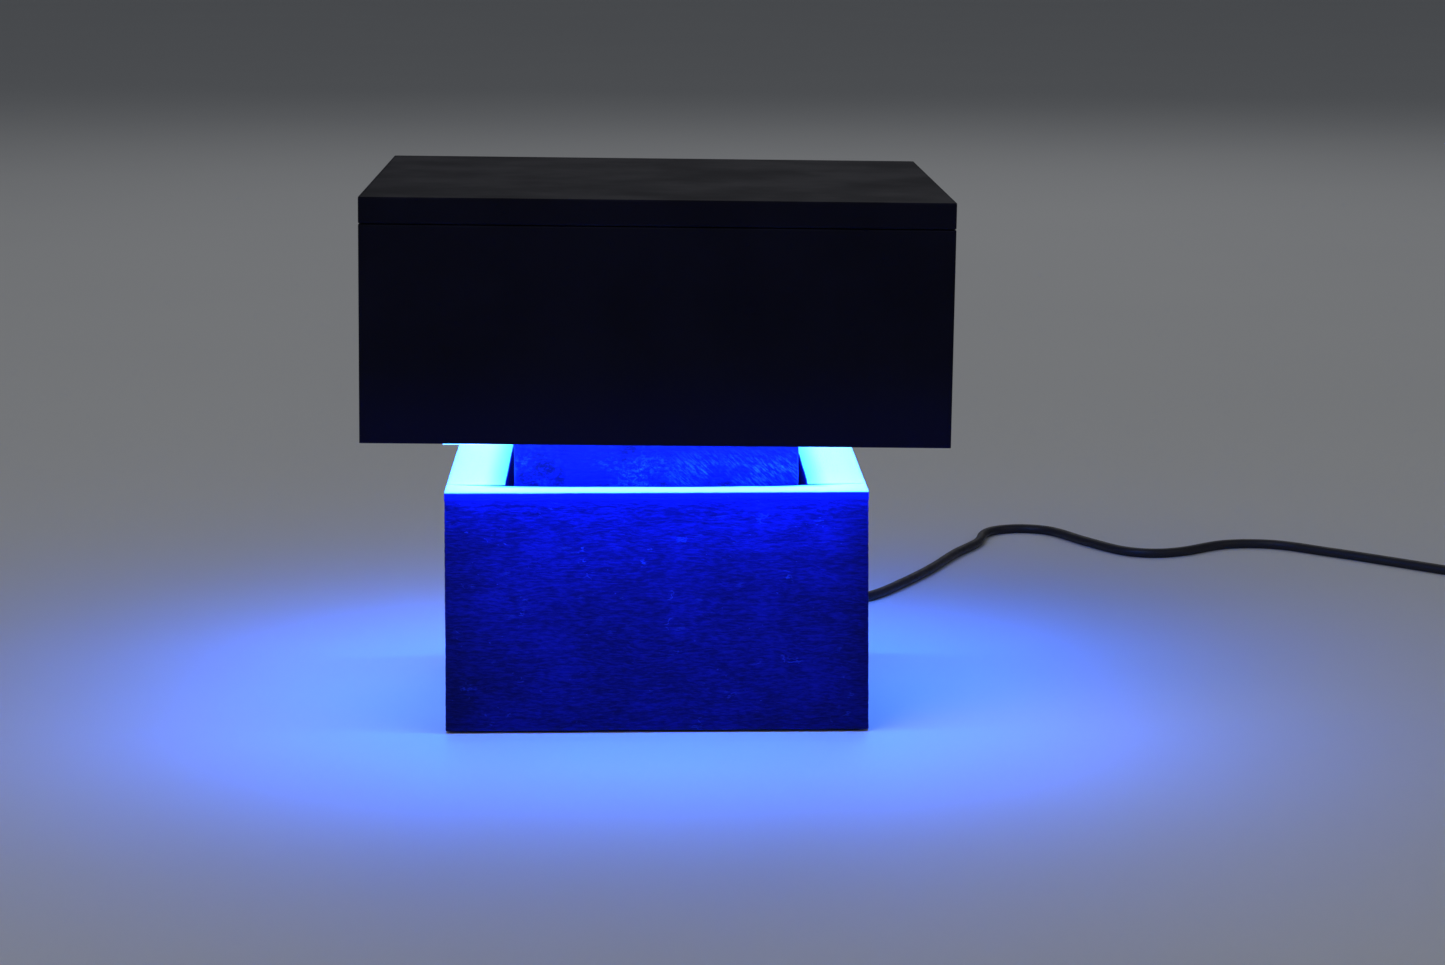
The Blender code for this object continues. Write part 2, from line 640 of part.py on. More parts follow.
def build_driver_and_leads(finishes, body):
    """The LED driver in the column and the three inner leads."""
    driver = add_box("led_driver", DRIVER_LOW, DRIVER_HIGH, finishes["driver"], body, eased=0.0)
    ease_edges(driver, 2.0 * MM, 2)
    routes = {
        "switch_lead": [
            (-16, 47.3, 34), (-16, 40, 34), (-13, 22, 35.5), (-4, 2, 41), (4, -14, 51), (6, -23, 60),
            (6, -23, 65.7),
        ],
        "driver_lead": [
            (20, 54.7, 34), (20, 46, 34), (20, 30, 34.5), (18, 10, 39), (15.5, -10, 49), (14, -23, 60),
            (14, -23, 65.7),
        ],
    }
    for name, points in routes.items():
        add_tube(name, points, LEAD_RADIUS, finishes["lead"], body, 6 * MM)
    x, y = HEAD_LEAD_PLACE[0] / MM, HEAD_LEAD_PLACE[1] / MM
    height = HEAD_LEAD_HEIGHT / MM
    head_route = [
        (10, -23, 144.3), (10, -23, 151), (3, -25, 158), (-14, -28, 157), (-29, y, 141), (-37, y, 130),
        (-45, y, height), (-54, y, height - 0.4), (x + 1, y, 122), (x, y, 116.0),
    ]
    add_tube("head_lead", head_route, HEAD_LEAD_RADIUS, finishes["lead"], body, 5 * MM)


def build_hood(wood, hood):
    """The hood in its own level frame: four walls, an overlaid top and two cleats round the column."""
    half_x, half_y, half_z = HOOD_WIDTH / 2, HOOD_DEPTH / 2, HOOD_HEIGHT / 2
    inner_x, inner_y = half_x - HOOD_BOARD, half_y - HOOD_BOARD
    walls = {
        "hood_front_board": ((-half_x, -half_y), (half_x, -inner_y)),
        "hood_back_board": ((-half_x, inner_y), (half_x, half_y)),
        "hood_left_board": ((-half_x, -inner_y + GAP), (-inner_x, inner_y - GAP)),
        "hood_right_board": ((inner_x, -inner_y + GAP), (half_x, inner_y - GAP)),
    }
    for name, (low, high) in walls.items():
        add_box(name, (*low, -half_z), (*high, HOOD_CEILING - GAP), wood, hood)
    add_box("hood_top_board", (-half_x, -half_y, HOOD_CEILING), (half_x, half_y, half_z), wood, hood)
    near = COLUMN_Y + HOOD_CLEAT_PLAY
    for side, sign in (("front", -1), ("back", 1)):
        low_y, high_y = sorted((sign * near, sign * (near + HOOD_CLEAT_DEPTH)))
        add_box(
            f"hood_cleat_{side}", (-COLUMN_X, low_y, HOOD_CEILING - GAP - HOOD_CLEAT_HEIGHT),
            (COLUMN_X, high_y, HOOD_CEILING - GAP), wood, hood,
        )


def build_cord(finishes):
    """The free lead on the table, the outer shape of its coil, and its plug."""
    add_tube("supply_cord", CORD_ROUTE_MM, CORD_RADIUS, finishes["cord"], None, 5 * CORD_RADIUS)
    add_tube("cord_tail", TAIL_ROUTE_MM, CORD_RADIUS, finishes["cord"], None, 4 * CORD_RADIUS)

    inner, outer = COIL_INNER - CORD_RADIUS - GAP, COIL_OUTER + CORD_RADIUS + GAP
    height = 2 * CORD_RADIUS * COIL_LAYERS + GAP
    edge = CORD_RADIUS / 2
    section = [
        (inner, edge), (inner + edge, 0.0), (outer - edge, 0.0), (outer, edge), (outer, height - edge),
        (outer - edge, height), (inner + edge, height), (inner, height - edge),
    ]
    form = bmesh.new()
    verts = [form.verts.new((radius, 0.0, z)) for radius, z in section]
    edges = [form.edges.new(pair) for pair in zip(verts, verts[1:] + verts[:1])]
    bmesh.ops.spin(
        form, geom=verts + edges, axis=(0, 0, 1), cent=(0, 0, 0), angle=math.tau, steps=40, use_merge=True
    )
    bmesh.ops.remove_doubles(form, verts=form.verts, dist=1e-6)
    add_object("cord_coil", mesh_from("cord_coil", form), finishes["cord"], None, (*COIL_CENTRE, 0.0))

    plug = turned_mesh("cord_plug", [
        (0.0, 0.0), (2.8 * MM, 0.0), (3.4 * MM, 9.0 * MM), (PLUG_RADIUS - 0.4 * MM, 11.0 * MM),
        (PLUG_RADIUS, 12.0 * MM), (PLUG_RADIUS, 28.0 * MM), (4.2 * MM, 29.5 * MM), (2.75 * MM, 29.5 * MM),
        (2.75 * MM, 39.0 * MM), (0.0, 39.0 * MM),
    ], 24)
    add_object(
        "cord_plug", plug, finishes["plastic"], None, (*PLUG_PLACE, PLUG_RADIUS), direction_turn((0, 1, 0))
    )


def main():
    clear_scene()
    finishes = {
        "base_wood": make_finish("base_wood", (0.022, 0.028, 0.26), 0.75),
        "column_wood": make_finish("column_wood", (0.02, 0.05, 0.5), 0.8),
        "hood_wood": make_finish("hood_wood", (0.006, 0.006, 0.02), 0.6),
        "inner_wood": make_finish("inner_wood", (0.36, 0.27, 0.17), 0.8),
        "aluminium": make_finish("aluminium", (0.66, 0.68, 0.7), 0.35, 1.0),
        "steel": make_finish("steel", (0.5, 0.51, 0.53), 0.3, 1.0),
        "plate": make_finish("plate", (0.03, 0.03, 0.045), 0.5, 0.2),
        "diffuser": make_finish("diffuser", (0.8, 0.92, 1.0), 0.4),
        "led_board": make_finish("led_board", (0.86, 0.88, 0.9), 0.4),
        "driver": make_finish("driver", (0.75, 0.75, 0.72), 0.5),
        "lead": make_finish("lead", (0.03, 0.03, 0.035), 0.5),
        "cord": make_finish("cord", (0.012, 0.012, 0.03), 0.5),
        "plastic": make_finish("plastic", (0.02, 0.02, 0.025), 0.4),
        "rubber": make_finish("rubber", (0.02, 0.02, 0.02), 0.9),
    }
    base = make_empty("base_body")
    hood = make_empty("hood_body", (0.0, 0.0, HOOD_CENTRE_Z), (0.0, HOOD_TILT, 0.0))
    switch = make_empty("switch_body", (SWITCH_X, PIVOT_Y, PLATE_Z), (ROCKER_SWING, 0.0, 0.0))

    boards = build_base_walls(finishes["base_wood"], base)
    build_floor(finishes["inner_wood"], finishes["steel"], base, boards)
    build_feet(finishes["rubber"], base, boards)
    build_service_plate(finishes["plate"], finishes["steel"], base, boards)
    build_switch(finishes["plastic"], base, switch)
    build_cord_relief(finishes["plastic"])
    column = build_column(finishes["column_wood"], base)
    build_light_head(finishes, base, column)
    build_driver_and_leads(finishes, base)
    build_hood(finishes["hood_wood"], hood)
    build_cord(finishes)


if __name__ == "__main__":
    main()
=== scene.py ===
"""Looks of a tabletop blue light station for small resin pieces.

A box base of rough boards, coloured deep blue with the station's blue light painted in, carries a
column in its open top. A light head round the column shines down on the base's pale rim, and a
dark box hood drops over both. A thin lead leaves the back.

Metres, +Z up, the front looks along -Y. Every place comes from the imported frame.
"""

import json
import logging
import math
from dataclasses import asdict, dataclass
from enum import Enum
from typing import Any, Callable, Iterable, Optional, Sequence, Union

import bmesh
import bpy
import numpy as np
from mathutils import Matrix, Vector


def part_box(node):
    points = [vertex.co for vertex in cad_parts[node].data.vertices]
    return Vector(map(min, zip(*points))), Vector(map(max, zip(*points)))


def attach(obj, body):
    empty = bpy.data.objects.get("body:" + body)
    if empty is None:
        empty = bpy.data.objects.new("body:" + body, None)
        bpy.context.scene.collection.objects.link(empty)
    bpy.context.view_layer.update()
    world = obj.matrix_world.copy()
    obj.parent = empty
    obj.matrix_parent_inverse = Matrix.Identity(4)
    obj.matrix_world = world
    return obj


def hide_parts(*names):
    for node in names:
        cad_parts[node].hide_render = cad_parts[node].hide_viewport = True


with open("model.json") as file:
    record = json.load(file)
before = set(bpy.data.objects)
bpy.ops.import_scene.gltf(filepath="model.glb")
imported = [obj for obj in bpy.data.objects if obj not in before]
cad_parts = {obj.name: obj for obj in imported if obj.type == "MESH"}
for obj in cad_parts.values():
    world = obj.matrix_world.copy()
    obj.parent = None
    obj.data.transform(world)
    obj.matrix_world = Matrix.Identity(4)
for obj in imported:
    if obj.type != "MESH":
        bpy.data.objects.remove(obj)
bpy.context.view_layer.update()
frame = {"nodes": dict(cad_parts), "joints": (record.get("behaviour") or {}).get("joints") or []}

LOG = logging.getLogger("light_station")
MM = 0.001
HOOD_TILT = math.radians(0.7)  # the hood sits this much out of level, its right side lower
GLOW = (0.07, 0.3, 1.0)  # the blue light where it is hottest
SPILL = (0.015, 0.13, 1.0)  # the blue light on what is further off
LED_PITCH = 12.0 * MM  # from chip to chip
LED_ROWS = (63.0 * MM, 53.75 * MM)  # how far from the middle the rows of chips lie
HOOD_HALF = (101.5 * MM, 89.5 * MM, 42.2 * MM)
SIDES = ("front", "back", "left", "right")
CORNERS = ("front_left", "front_right", "back_left", "back_right")

Colour = tuple[float, float, float]
Point = tuple[float, float, float]
Profile = Sequence[tuple[float, float]]  # (radius, height) points
WHITE = (1.0, 1.0, 1.0)


class Axis(Enum):
    """The way that a board's grain runs."""

    X = (1.0, 0.0, 0.0)
    Y = (0.0, 1.0, 0.0)
    Z = (0.0, 0.0, 1.0)

    def stretched(self, along: float, across: float) -> Point:
        """Pattern scales per metre, one along the grain and one across it."""
        return tuple(along if part else across for part in self.value)


class Body(Enum):
    """The moving bodies of the frame."""

    BASE = "base"
    HOOD = "hood"
    SWITCH = "switch"


def toned(colour: Colour, gain: float, lift: float = 0.0) -> Colour:
    """A colour made brighter or darker by a factor, and lifted evenly."""
    return tuple(gain * part + lift for part in colour)


# ---------------------------------------------------------------- nodes


def _operator(operation: str, swapped: bool = False) -> Callable[..., "Wire"]:
    """A Python operator of wires that adds a Math node; swapped is the form for other + wire."""

    def apply(wire: "Wire", *others: "Term") -> "Wire":
        """Adds the node."""
        return wire.sheet.maths(operation, *((*others, wire) if swapped else (wire, *others)))

    return apply


@dataclass(frozen=True)
class Wire:
    """A node's output that can be used in Python expressions."""

    sheet: "NodeSheet"
    socket: bpy.types.NodeSocket

    __add__, __radd__ = _operator("ADD"), _operator("ADD", True)
    __sub__, __rsub__ = _operator("SUBTRACT"), _operator("SUBTRACT", True)
    __mul__, __rmul__ = _operator("MULTIPLY"), _operator("MULTIPLY", True)
    __truediv__ = _operator("DIVIDE")
    __abs__ = _operator("ABSOLUTE")

    def step(self, low: "Term", high: "Term", start: "Term" = 0.0, end: "Term" = 1.0) -> "Wire":
        """A smooth step from start to end as this goes from low to high."""
        return self.sheet.add(
            "ShaderNodeMapRange", {"interpolation_type": "SMOOTHSTEP"},
            {"Value": self, "From Min": low, "From Max": high, "To Min": start, "To Max": end},
        )


Term = Union[Wire, float, tuple, Vector]


class NodeSheet:
    """Adds nodes to a shader or geometry tree."""

    def __init__(self, tree: bpy.types.NodeTree) -> None:
        """Starts on a tree.

        Args:
            tree: The node tree that the nodes go into.
        """
        self.tree = tree

    def feed(self, socket: bpy.types.NodeSocket, value: Any) -> None:
        """Links a wire, or a list of wires, to a socket, or sets its value."""
        if isinstance(value, list):
            for wire in value:
                self.tree.links.new(wire.socket, socket)
        elif isinstance(value, Wire):
            self.tree.links.new(value.socket, socket)
        elif socket.type == "RGBA" and len(value) == 3:
            socket.default_value = (*value, 1.0)
        else:
            socket.default_value = value

    def add(
        self, kind: str, settings: Optional[dict[str, Any]] = None,
        inputs: Optional[dict[Union[str, int], Any]] = None, out: Union[int, str] = 0,
    ) -> Wire:
        """Adds any node.

        Args:
            kind: The node's type.
            settings: Its properties, set before its sockets.
            inputs: The values or wires of its sockets, by name or number.
            out: The output that is wanted.

        Returns:
            The wanted output.
        """
        node = self.tree.nodes.new(kind)
        for name, value in (settings or {}).items():
            setattr(node, name, value)
        for name, value in (inputs or {}).items():
            self.feed(node.inputs[name], value)
        return Wire(self, node.outputs[out])

    def maths(self, operation: str, *terms: Term, out: int = 0) -> Wire:
        """A Math node, or a Vector Math node where a term is a vector."""
        vectors = any(
            term.socket.type == "VECTOR" if isinstance(term, Wire)
            else isinstance(term, (tuple, Vector))
            for term in terms
        )
        kind = "ShaderNodeVectorMath" if vectors else "ShaderNodeMath"
        values = {
            place: (term,) * 3 if vectors and isinstance(term, (int, float)) else term
            for place, term in enumerate(terms)
        }
        return self.add(kind, {"operation": operation}, values, out)

    def most(self, *terms: Term) -> Wire:
        """The larger of two terms."""
        return self.maths("MAXIMUM", *terms)

    def axis(self, vector: Wire, name: str) -> Wire:
        """One of a vector's numbers, X, Y or Z."""
        return self.add("ShaderNodeSeparateXYZ", None, {0: vector}, name)

    def vector(self, x: Term, y: Term, z: Term) -> Wire:
        """A vector of three numbers."""
        return self.add("ShaderNodeCombineXYZ", None, {0: x, 1: y, 2: z})

    def noise(
        self, where: Wire, scale: float, detail: float = 3.0, seed: Term = 0.0, rough: float = 0.55
    ) -> Wire:
        """Cloudy noise from about 0 to 1.

        Args:
            where: The pattern's coordinates.
            scale: Features per unit of the coordinates.
            detail: Octaves of finer noise.
            seed: Picks another pattern.
            rough: How much the finer octaves count.

        Returns:
            The noise.
        """
        return self.add(
            "ShaderNodeTexNoise", {"noise_dimensions": "4D"},
            {"Vector": where, "W": seed, "Scale": scale, "Detail": detail, "Roughness": rough},
        )


# ---------------------------------------------------------------- finishes


class Paint(NodeSheet):
    """A material that is being made."""

    def __init__(self, name: str, **uniform: Any) -> None:
        """Starts a material with a Principled shader.

        Args:
            name: The material's name.
            uniform: Shader sockets that are the same all over, with _ for spaces.
        """
        self.material = bpy.data.materials.new(name)
        self.material.use_nodes = True
        super().__init__(self.material.node_tree)
        self.shader = self.tree.nodes["Principled BSDF"]
        for socket, value in uniform.items():
            self.feed(self.shader.inputs[socket.replace("_", " ")], value)
        self.place = self.add("ShaderNodeTexCoord", out="Object")

    def local(self, centre: Point, turn: Point = (0.0, 0.0, 0.0)) -> Wire:
        """Object coordinates seen from a centre, in a frame that is turned."""
        return self.add(
            "ShaderNodeMapping", {"vector_type": "TEXTURE"},
            {"Vector": self.place, "Location": centre, "Rotation": turn},
        )

    def mix(self, amount: Term, first: Any, second: Any) -> Wire:
        """A colour between two, from the first at 0 to the second at 1."""
        return self.add("ShaderNodeMix", {"data_type": "RGBA"}, {0: amount, 6: first, 7: second}, 2)

    def cloud(self, scale: float, detail: float, seed: float, rough: float = 0.55) -> Wire:
        """Even noise on the object's own coordinates, with features per metre."""
        return self.noise(self.place, scale, detail, seed, rough)

    def drawn(
        self, axis: Axis, along: float, across: float, detail: float, seed: float,
        rough: float = 0.55, where: Optional[Wire] = None,
    ) -> Wire:
        """Noise that is drawn out along an axis.

        Args:
            axis: The axis.
            along: Features per metre along it.
            across: Features per metre across it.
            detail: Octaves of finer noise.
            seed: Picks another pattern.
            rough: How much the finer octaves count.
            where: Coordinates other than the object's own.

        Returns:
            The noise.
        """
        where = self.place if where is None else where
        return self.noise(where * axis.stretched(along, across), 1.0, detail, seed, rough)

    def attribute(self, name: str) -> Wire:
        """A number that the mesh carries."""
        return self.add("ShaderNodeAttribute", {"attribute_name": name}, None, "Fac")

    def bump(self, height: Wire, depth: float, below: Optional[Wire] = None) -> Wire:
        """A bumped normal.

        Args:
            height: The relief, about 0 to 1.
            depth: How deep 0 to 1 is, in metres.
            below: A normal that is bumped already.

        Returns:
            The new normal.
        """
        inputs = {"Height": height, "Distance": depth, "Strength": 1.0}
        if below is not None:
            inputs["Normal"] = below
        return self.add("ShaderNodeBump", None, inputs)

    def done(self, **varying: Wire) -> bpy.types.Material:
        """Feeds what changes over the surface to the shader, and hands the material over."""
        for socket, wire in varying.items():
            self.feed(self.shader.inputs[socket.replace("_", " ")], wire)
        return self.material


@dataclass(frozen=True)
class BlueLitTimber:
    """Rough timber in deep blue, its colour the station's blue light painted in, with short fibre
    streaks and a few brighter torn marks.
    """

    name: str
    grain: Axis
    # painted light: these deep blues are the cast of the station's blue light, painted into the
    # colour
    deep: Colour = (0.003, 0.005, 0.17)
    middle: Colour = (0.008, 0.015, 0.5)
    torn: Colour = (0.015, 0.075, 0.9)
    # painted highlight: the smooth band under a board's top edge, lighter where light from above
    # falls
    smooth: Colour = (0.008, 0.018, 0.58)

    def make(self) -> bpy.types.Material:
        """Builds the material."""
        paint = Paint(self.name, Specular_IOR_Level=0.14)
        clouds = paint.cloud(34.0, 3.0, 11.0)
        place = paint.place + paint.drawn(self.grain, 38.0, 90.0, 2.0, 21.0) * 0.0045
        fibres = paint.drawn(self.grain, 300.0, 1500.0, 4.0, 3.0, 0.6, place)
        streaks = paint.drawn(self.grain, 90.0, 520.0, 3.0, 7.0, where=place)
        light = fibres.step(0.34, 0.7) * 0.5 + streaks.step(0.35, 0.68) * 0.25
        light = light + clouds.step(0.3, 0.75) * 0.3 - 0.05
        colour, torn = self._figure(paint, light, fibres, clouds)
        colour = self._finish(paint, paint.mix(torn, colour, self.torn), fibres)
        rough = fibres.step(0.2, 0.8, 0.88, 0.7)
        relief = paint.bump(fibres * 0.8 + torn * 0.6, 0.0003)
        return paint.done(Base_Color=colour, Roughness=rough, Normal=relief)

    def _figure(self, paint: Paint, light: Wire, fibres: Wire, clouds: Wire) -> tuple[Wire, Wire]:
        """The blue colour and where brighter marks lie on it: torn marks, and arrises that are
        partly worn and partly a painted highlight.
        """
        colour = paint.mix(light.step(0.0, 1.0), self.deep, self.middle)
        curl = paint.drawn(self.grain, 160.0, 300.0, 2.0, 5.0)
        places = paint.cloud(95.0, 1.0, 31.0)
        marks = abs(curl - 0.56).step(0.004, 0.03, 0.75, 0.0)
        marks = marks * places.step(0.62, 0.7) * fibres.step(0.4, 0.55)
        dots = paint.drawn(self.grain, 500.0, 800.0, 1.0, 8.0).step(0.72, 0.79) * 0.6
        torn = paint.attribute("torn") * fibres.step(0.42, 0.62) * 0.5
        # arrises lighter: partly wear, partly a painted highlight where light catches the edge
        edge = paint.attribute("arris") * clouds.step(0.35, 0.55) * 0.6
        return colour, paint.most(paint.most(paint.most(marks, dots), torn), edge)

    def _finish(self, paint: Paint, colour: Wire, fibres: Wire) -> Wire:
        """What lies over the blue colour; nothing on a plain board."""
        return colour


@dataclass(frozen=True)
class RimmedTimber(BlueLitTimber):
    """A base board with painted shade darker towards its foot and corners, a smooth band painted
    lighter below its pale, bare rim, and a painted cyan glow on the rim near the opening.
    """

    top: float = 0.1
    half: tuple[float, float] = (0.1, 0.1)
    opening: tuple[float, float] = (0.05, 0.05)
    bare: Colour = (0.86, 0.93, 0.96)
    # painted light: the rim's cyan near the opening
    tinted: Colour = (0.32, 0.92, 0.95)
    # painted shade: the share of the colour that is left at the foot
    foot: float = 0.42

    def _finish(self, paint: Paint, colour: Wire, fibres: Wire) -> Wire:
        """Paints shade on the foot and the corners, then lays on the smooth band, painted lighter,
        and the rim with its painted glow.
        """
        place = paint.place
        height = paint.axis(place, "Z")
        away = paint.maths("ABSOLUTE", place)
        far_x, far_y = paint.axis(away, "X"), paint.axis(away, "Y")
        clouds = paint.cloud(30.0, 2.0, 17.0)
        waver = paint.cloud(60.0, 2.0, 19.0)
        corner = paint.maths("MULTIPLY", far_x / self.half[0], far_y / self.half[1])
        # painted shade: darker towards the foot and the box's corners, times an uneven tone
        shade = height.step(0.0, self.top * 0.9, self.foot, 1.0)
        shade = shade * clouds.step(0.25, 0.75, 0.8, 1.15) * corner.step(0.72, 1.02, 1.0, 0.6)
        colour = paint.maths("MULTIPLY", colour, paint.vector(shade, shade, shade))
        # the smooth band below the top edge is real; its lighter colour is painted light from above
        band = (height + waver * 0.003).step(self.top - 4.2 * MM, self.top - 0.8 * MM)
        colour = paint.mix(band * 0.85, colour, self.smooth)
        # painted light and shade: the rim turns cyan near the opening, the blue light's cast and the
        # column's shade painted in
        hollow = paint.most(far_x - self.opening[0], far_y - self.opening[1])
        bare = paint.mix(hollow.step(0.5 * MM, 9.0 * MM), self.tinted, self.bare)
        bare = paint.mix(fibres.step(0.4, 0.8) * 0.16, bare, (0.5, 0.72, 0.86))
        rim = (height + waver * 0.0005).step(self.top - 0.75 * MM, self.top - 0.25 * MM)
        return paint.mix(rim, colour, bare)


@dataclass(frozen=True)
class MottledTimber(BlueLitTimber):
    """A column board: mottled patches, slanting fibres on its right, and one plain patch."""

    # painted light: every blue here is the station's blue light painted into the colour
    speck: Colour = (0.03, 0.13, 0.75)
    dark: Colour = (0.001, 0.002, 0.07)
    plain: Colour = (0.003, 0.006, 0.24)
    plain_place: float = -27.0 * MM
    plain_from: float = 99.0 * MM
    slant: float = math.radians(42.0)
    deep: Colour = (0.002, 0.004, 0.16)
    middle: Colour = (0.004, 0.008, 0.3)

    def _figure(self, paint: Paint, light: Wire, fibres: Wire, clouds: Wire) -> tuple[Wire, Wire]:
        """The blue colour, where its bright mottling lies, and its arrises, partly worn and partly a
        painted highlight.
        """
        place = paint.place
        across = paint.axis(place, "X")
        slant = paint.local((0.0, 0.0, 0.0), (0.0, self.slant, 0.0))
        patches = paint.cloud(70.0, 4.0, 23.0, 0.6)
        mottled = paint.noise(place * (1.0, 1.0, 1.5), 620.0, 5.0, 2.0, 0.75)
        slanting = paint.noise(slant * (300.0, 900.0, 1500.0), 1.0, 5.0, 6.0, 0.7)
        plain = across + (patches - 0.5) * 0.03 - self.plain_place
        plain = abs(plain).step(3.0 * MM, 15.0 * MM, 0.85, 0.0)
        right = (across + patches * 0.03).step(10.0 * MM, 34.0 * MM)
        low = paint.axis(place, "Z") + patches * 0.012
        low = low.step(self.plain_from, self.plain_from + 7.0 * MM, 1.0, 0.2)
        figure = mottled.step(0.46, 0.7) * (1.0 - right) + slanting.step(0.44, 0.7) * right
        figure = figure * patches.step(0.4, 0.6) * (1.0 - plain) * low
        dark = patches.step(0.5, 0.36) * mottled.step(0.62, 0.44)
        colour = paint.mix(light.step(0.0, 1.0), self.deep, self.middle)
        colour = paint.mix(plain, paint.mix(dark * 0.9, colour, self.dark), self.plain)
        # arrises lighter: partly wear, partly a painted highlight where light catches the edge
        edge = paint.attribute("arris") * clouds.step(0.4, 0.6) * 0.7
        return paint.mix(figure * 0.9, colour, self.speck), edge


@dataclass(frozen=True)
class PaintedTimber:
    """A board painted matt outside and left bare inside, with painted blue light on the lower part
    of its outside.
    """

    name: str
    coat: Colour
    worn: Colour
    bare: Colour
    centre: Point
    half: Point
    # painted light: the bluer colour of the lower outside
    foot: Colour = (0.0034, 0.004, 0.03)
    skin: float = 5.0 * MM

    def make(self) -> bpy.types.Material:
        """Builds the material."""
        paint = Paint(self.name, Specular_IOR_Level=0.1)
        place = paint.local(self.centre, (0.0, HOOD_TILT, 0.0))
        grain = paint.noise(place * (28.0, 300.0, 420.0), 1.0, 4.0, 4.0)
        orange = paint.noise(place, 900.0, 2.0, 1.0)
        clouds = paint.noise(place, 24.0, 3.0, 6.0)
        rubbed = paint.attribute("arris") * clouds.step(0.45, 0.62) * 0.5
        colour = paint.mix(clouds.step(0.3, 0.7), self.coat, toned(self.coat, 1.4))
        # painted light: the outside turns bluer towards the bottom, as if bounce light lit it
        painted_foot_glow = paint.axis(place, "Z").step(-self.half[2], -0.2 * self.half[2], 1.0, 0.0)
        colour = paint.mix(painted_foot_glow, colour, self.foot)
        colour = paint.mix(rubbed, colour, self.worn)
        away = paint.maths("ABSOLUTE", place)
        beyond_x, beyond_y, beyond_z = (
            paint.axis(away, name) - half for name, half in zip("XYZ", self.half)
        )
        outside = paint.most(paint.most(beyond_x, beyond_y), beyond_z)
        outside = (outside + clouds * MM).step(-self.skin, 0.6 * MM - self.skin)
        bare = paint.mix(grain.step(0.3, 0.7), self.bare, toned(self.bare, 0.72))
        colour = paint.mix(outside, bare, colour)
        rough = clouds.step(0.3, 0.7, 0.72, 0.6)
        relief = paint.bump(grain, 0.00008)
        relief = paint.bump(orange, 0.00002, relief)
        return paint.done(Base_Color=colour, Roughness=rough, Normal=relief)


@dataclass(frozen=True)
class PlainTimber:
    """Sawn softwood with growth rings, left bare."""

    name: str
    grain: Axis
    early: Colour = (0.5, 0.36, 0.21)
    late: Colour = (0.3, 0.18, 0.085)
    heart: Point = (0.03, 0.05, 0.04)  # how far off the tree's middle was

    def make(self) -> bpy.types.Material:
        """Builds the material."""
        paint = Paint(self.name, Specular_IOR_Level=0.25)
        bend = paint.drawn(self.grain, 6.0, 22.0, 2.0, 9.0)
        place = paint.place + paint.vector(*self.heart) + bend * 0.004
        rings = paint.add(
            "ShaderNodeTexWave", {"wave_type": "RINGS", "rings_direction": self.grain.name},
            {"Vector": place, "Scale": 90.0, "Distortion": 2.0}, "Fac",
        )
        pores = paint.drawn(self.grain, 120.0, 1800.0, 3.0, 2.0)
        colour = paint.mix(rings.step(0.35, 0.95), self.early, self.late)
        colour = paint.mix(pores.step(0.45, 0.75) * 0.35, colour, self.late)
        rough = pores.step(0.3, 0.7, 0.7, 0.85)
        relief = paint.bump(pores * 0.6 + rings * 0.4, 0.00012)
        return paint.done(Base_Color=colour, Roughness=rough, Normal=relief)


@dataclass(frozen=True)
class BrushedMetal:
    """Metal with fine lines along one way and faint stains."""

    name: str
    colour: Colour
    brush: Axis
    rough: float = 0.34

    def make(self) -> bpy.types.Material:
        """Builds the material."""
        paint = Paint(self.name, Metallic=1.0)
        lines = paint.drawn(self.brush, 60.0, 5200.0, 3.0, 1.0)
        stains = paint.cloud(55.0, 3.0, 2.0)
        dull = toned(self.colour, 0.72)
        colour = paint.mix(stains.step(0.4, 0.75) * 0.6 + lines * 0.2, self.colour, dull)
        rough = lines.step(0.3, 0.7, self.rough - 0.06, self.rough + 0.1)
        rough = rough + stains.step(0.5, 0.8) * 0.08
        return paint.done(Base_Color=colour, Roughness=rough, Normal=paint.bump(lines, 0.00001))


@dataclass(frozen=True)
class Moulded:
    """Plastic or rubber with a fine moulded or coated grain."""

    name: str
    colour: Colour
    rough: float
    grain: float = 2600.0
    depth: float = 0.00002
    sheen: float = 0.0

    def make(self) -> bpy.types.Material:
        """Builds the material."""
        paint = Paint(self.name, Sheen_Weight=self.sheen, Specular_IOR_Level=0.4)
        fine = paint.cloud(self.grain, 2.0, 1.0)
        clouds = paint.cloud(120.0, 3.0, 5.0)
        dust = clouds.step(0.55, 0.8) * fine.step(0.45, 0.7)
        colour = paint.mix(dust * 0.35, self.colour, toned(self.colour, 0.8, 0.05))
        rough = clouds.step(0.3, 0.7, self.rough - 0.05, self.rough + 0.08)
        return paint.done(Base_Color=colour, Roughness=rough, Normal=paint.bump(fine, self.depth))


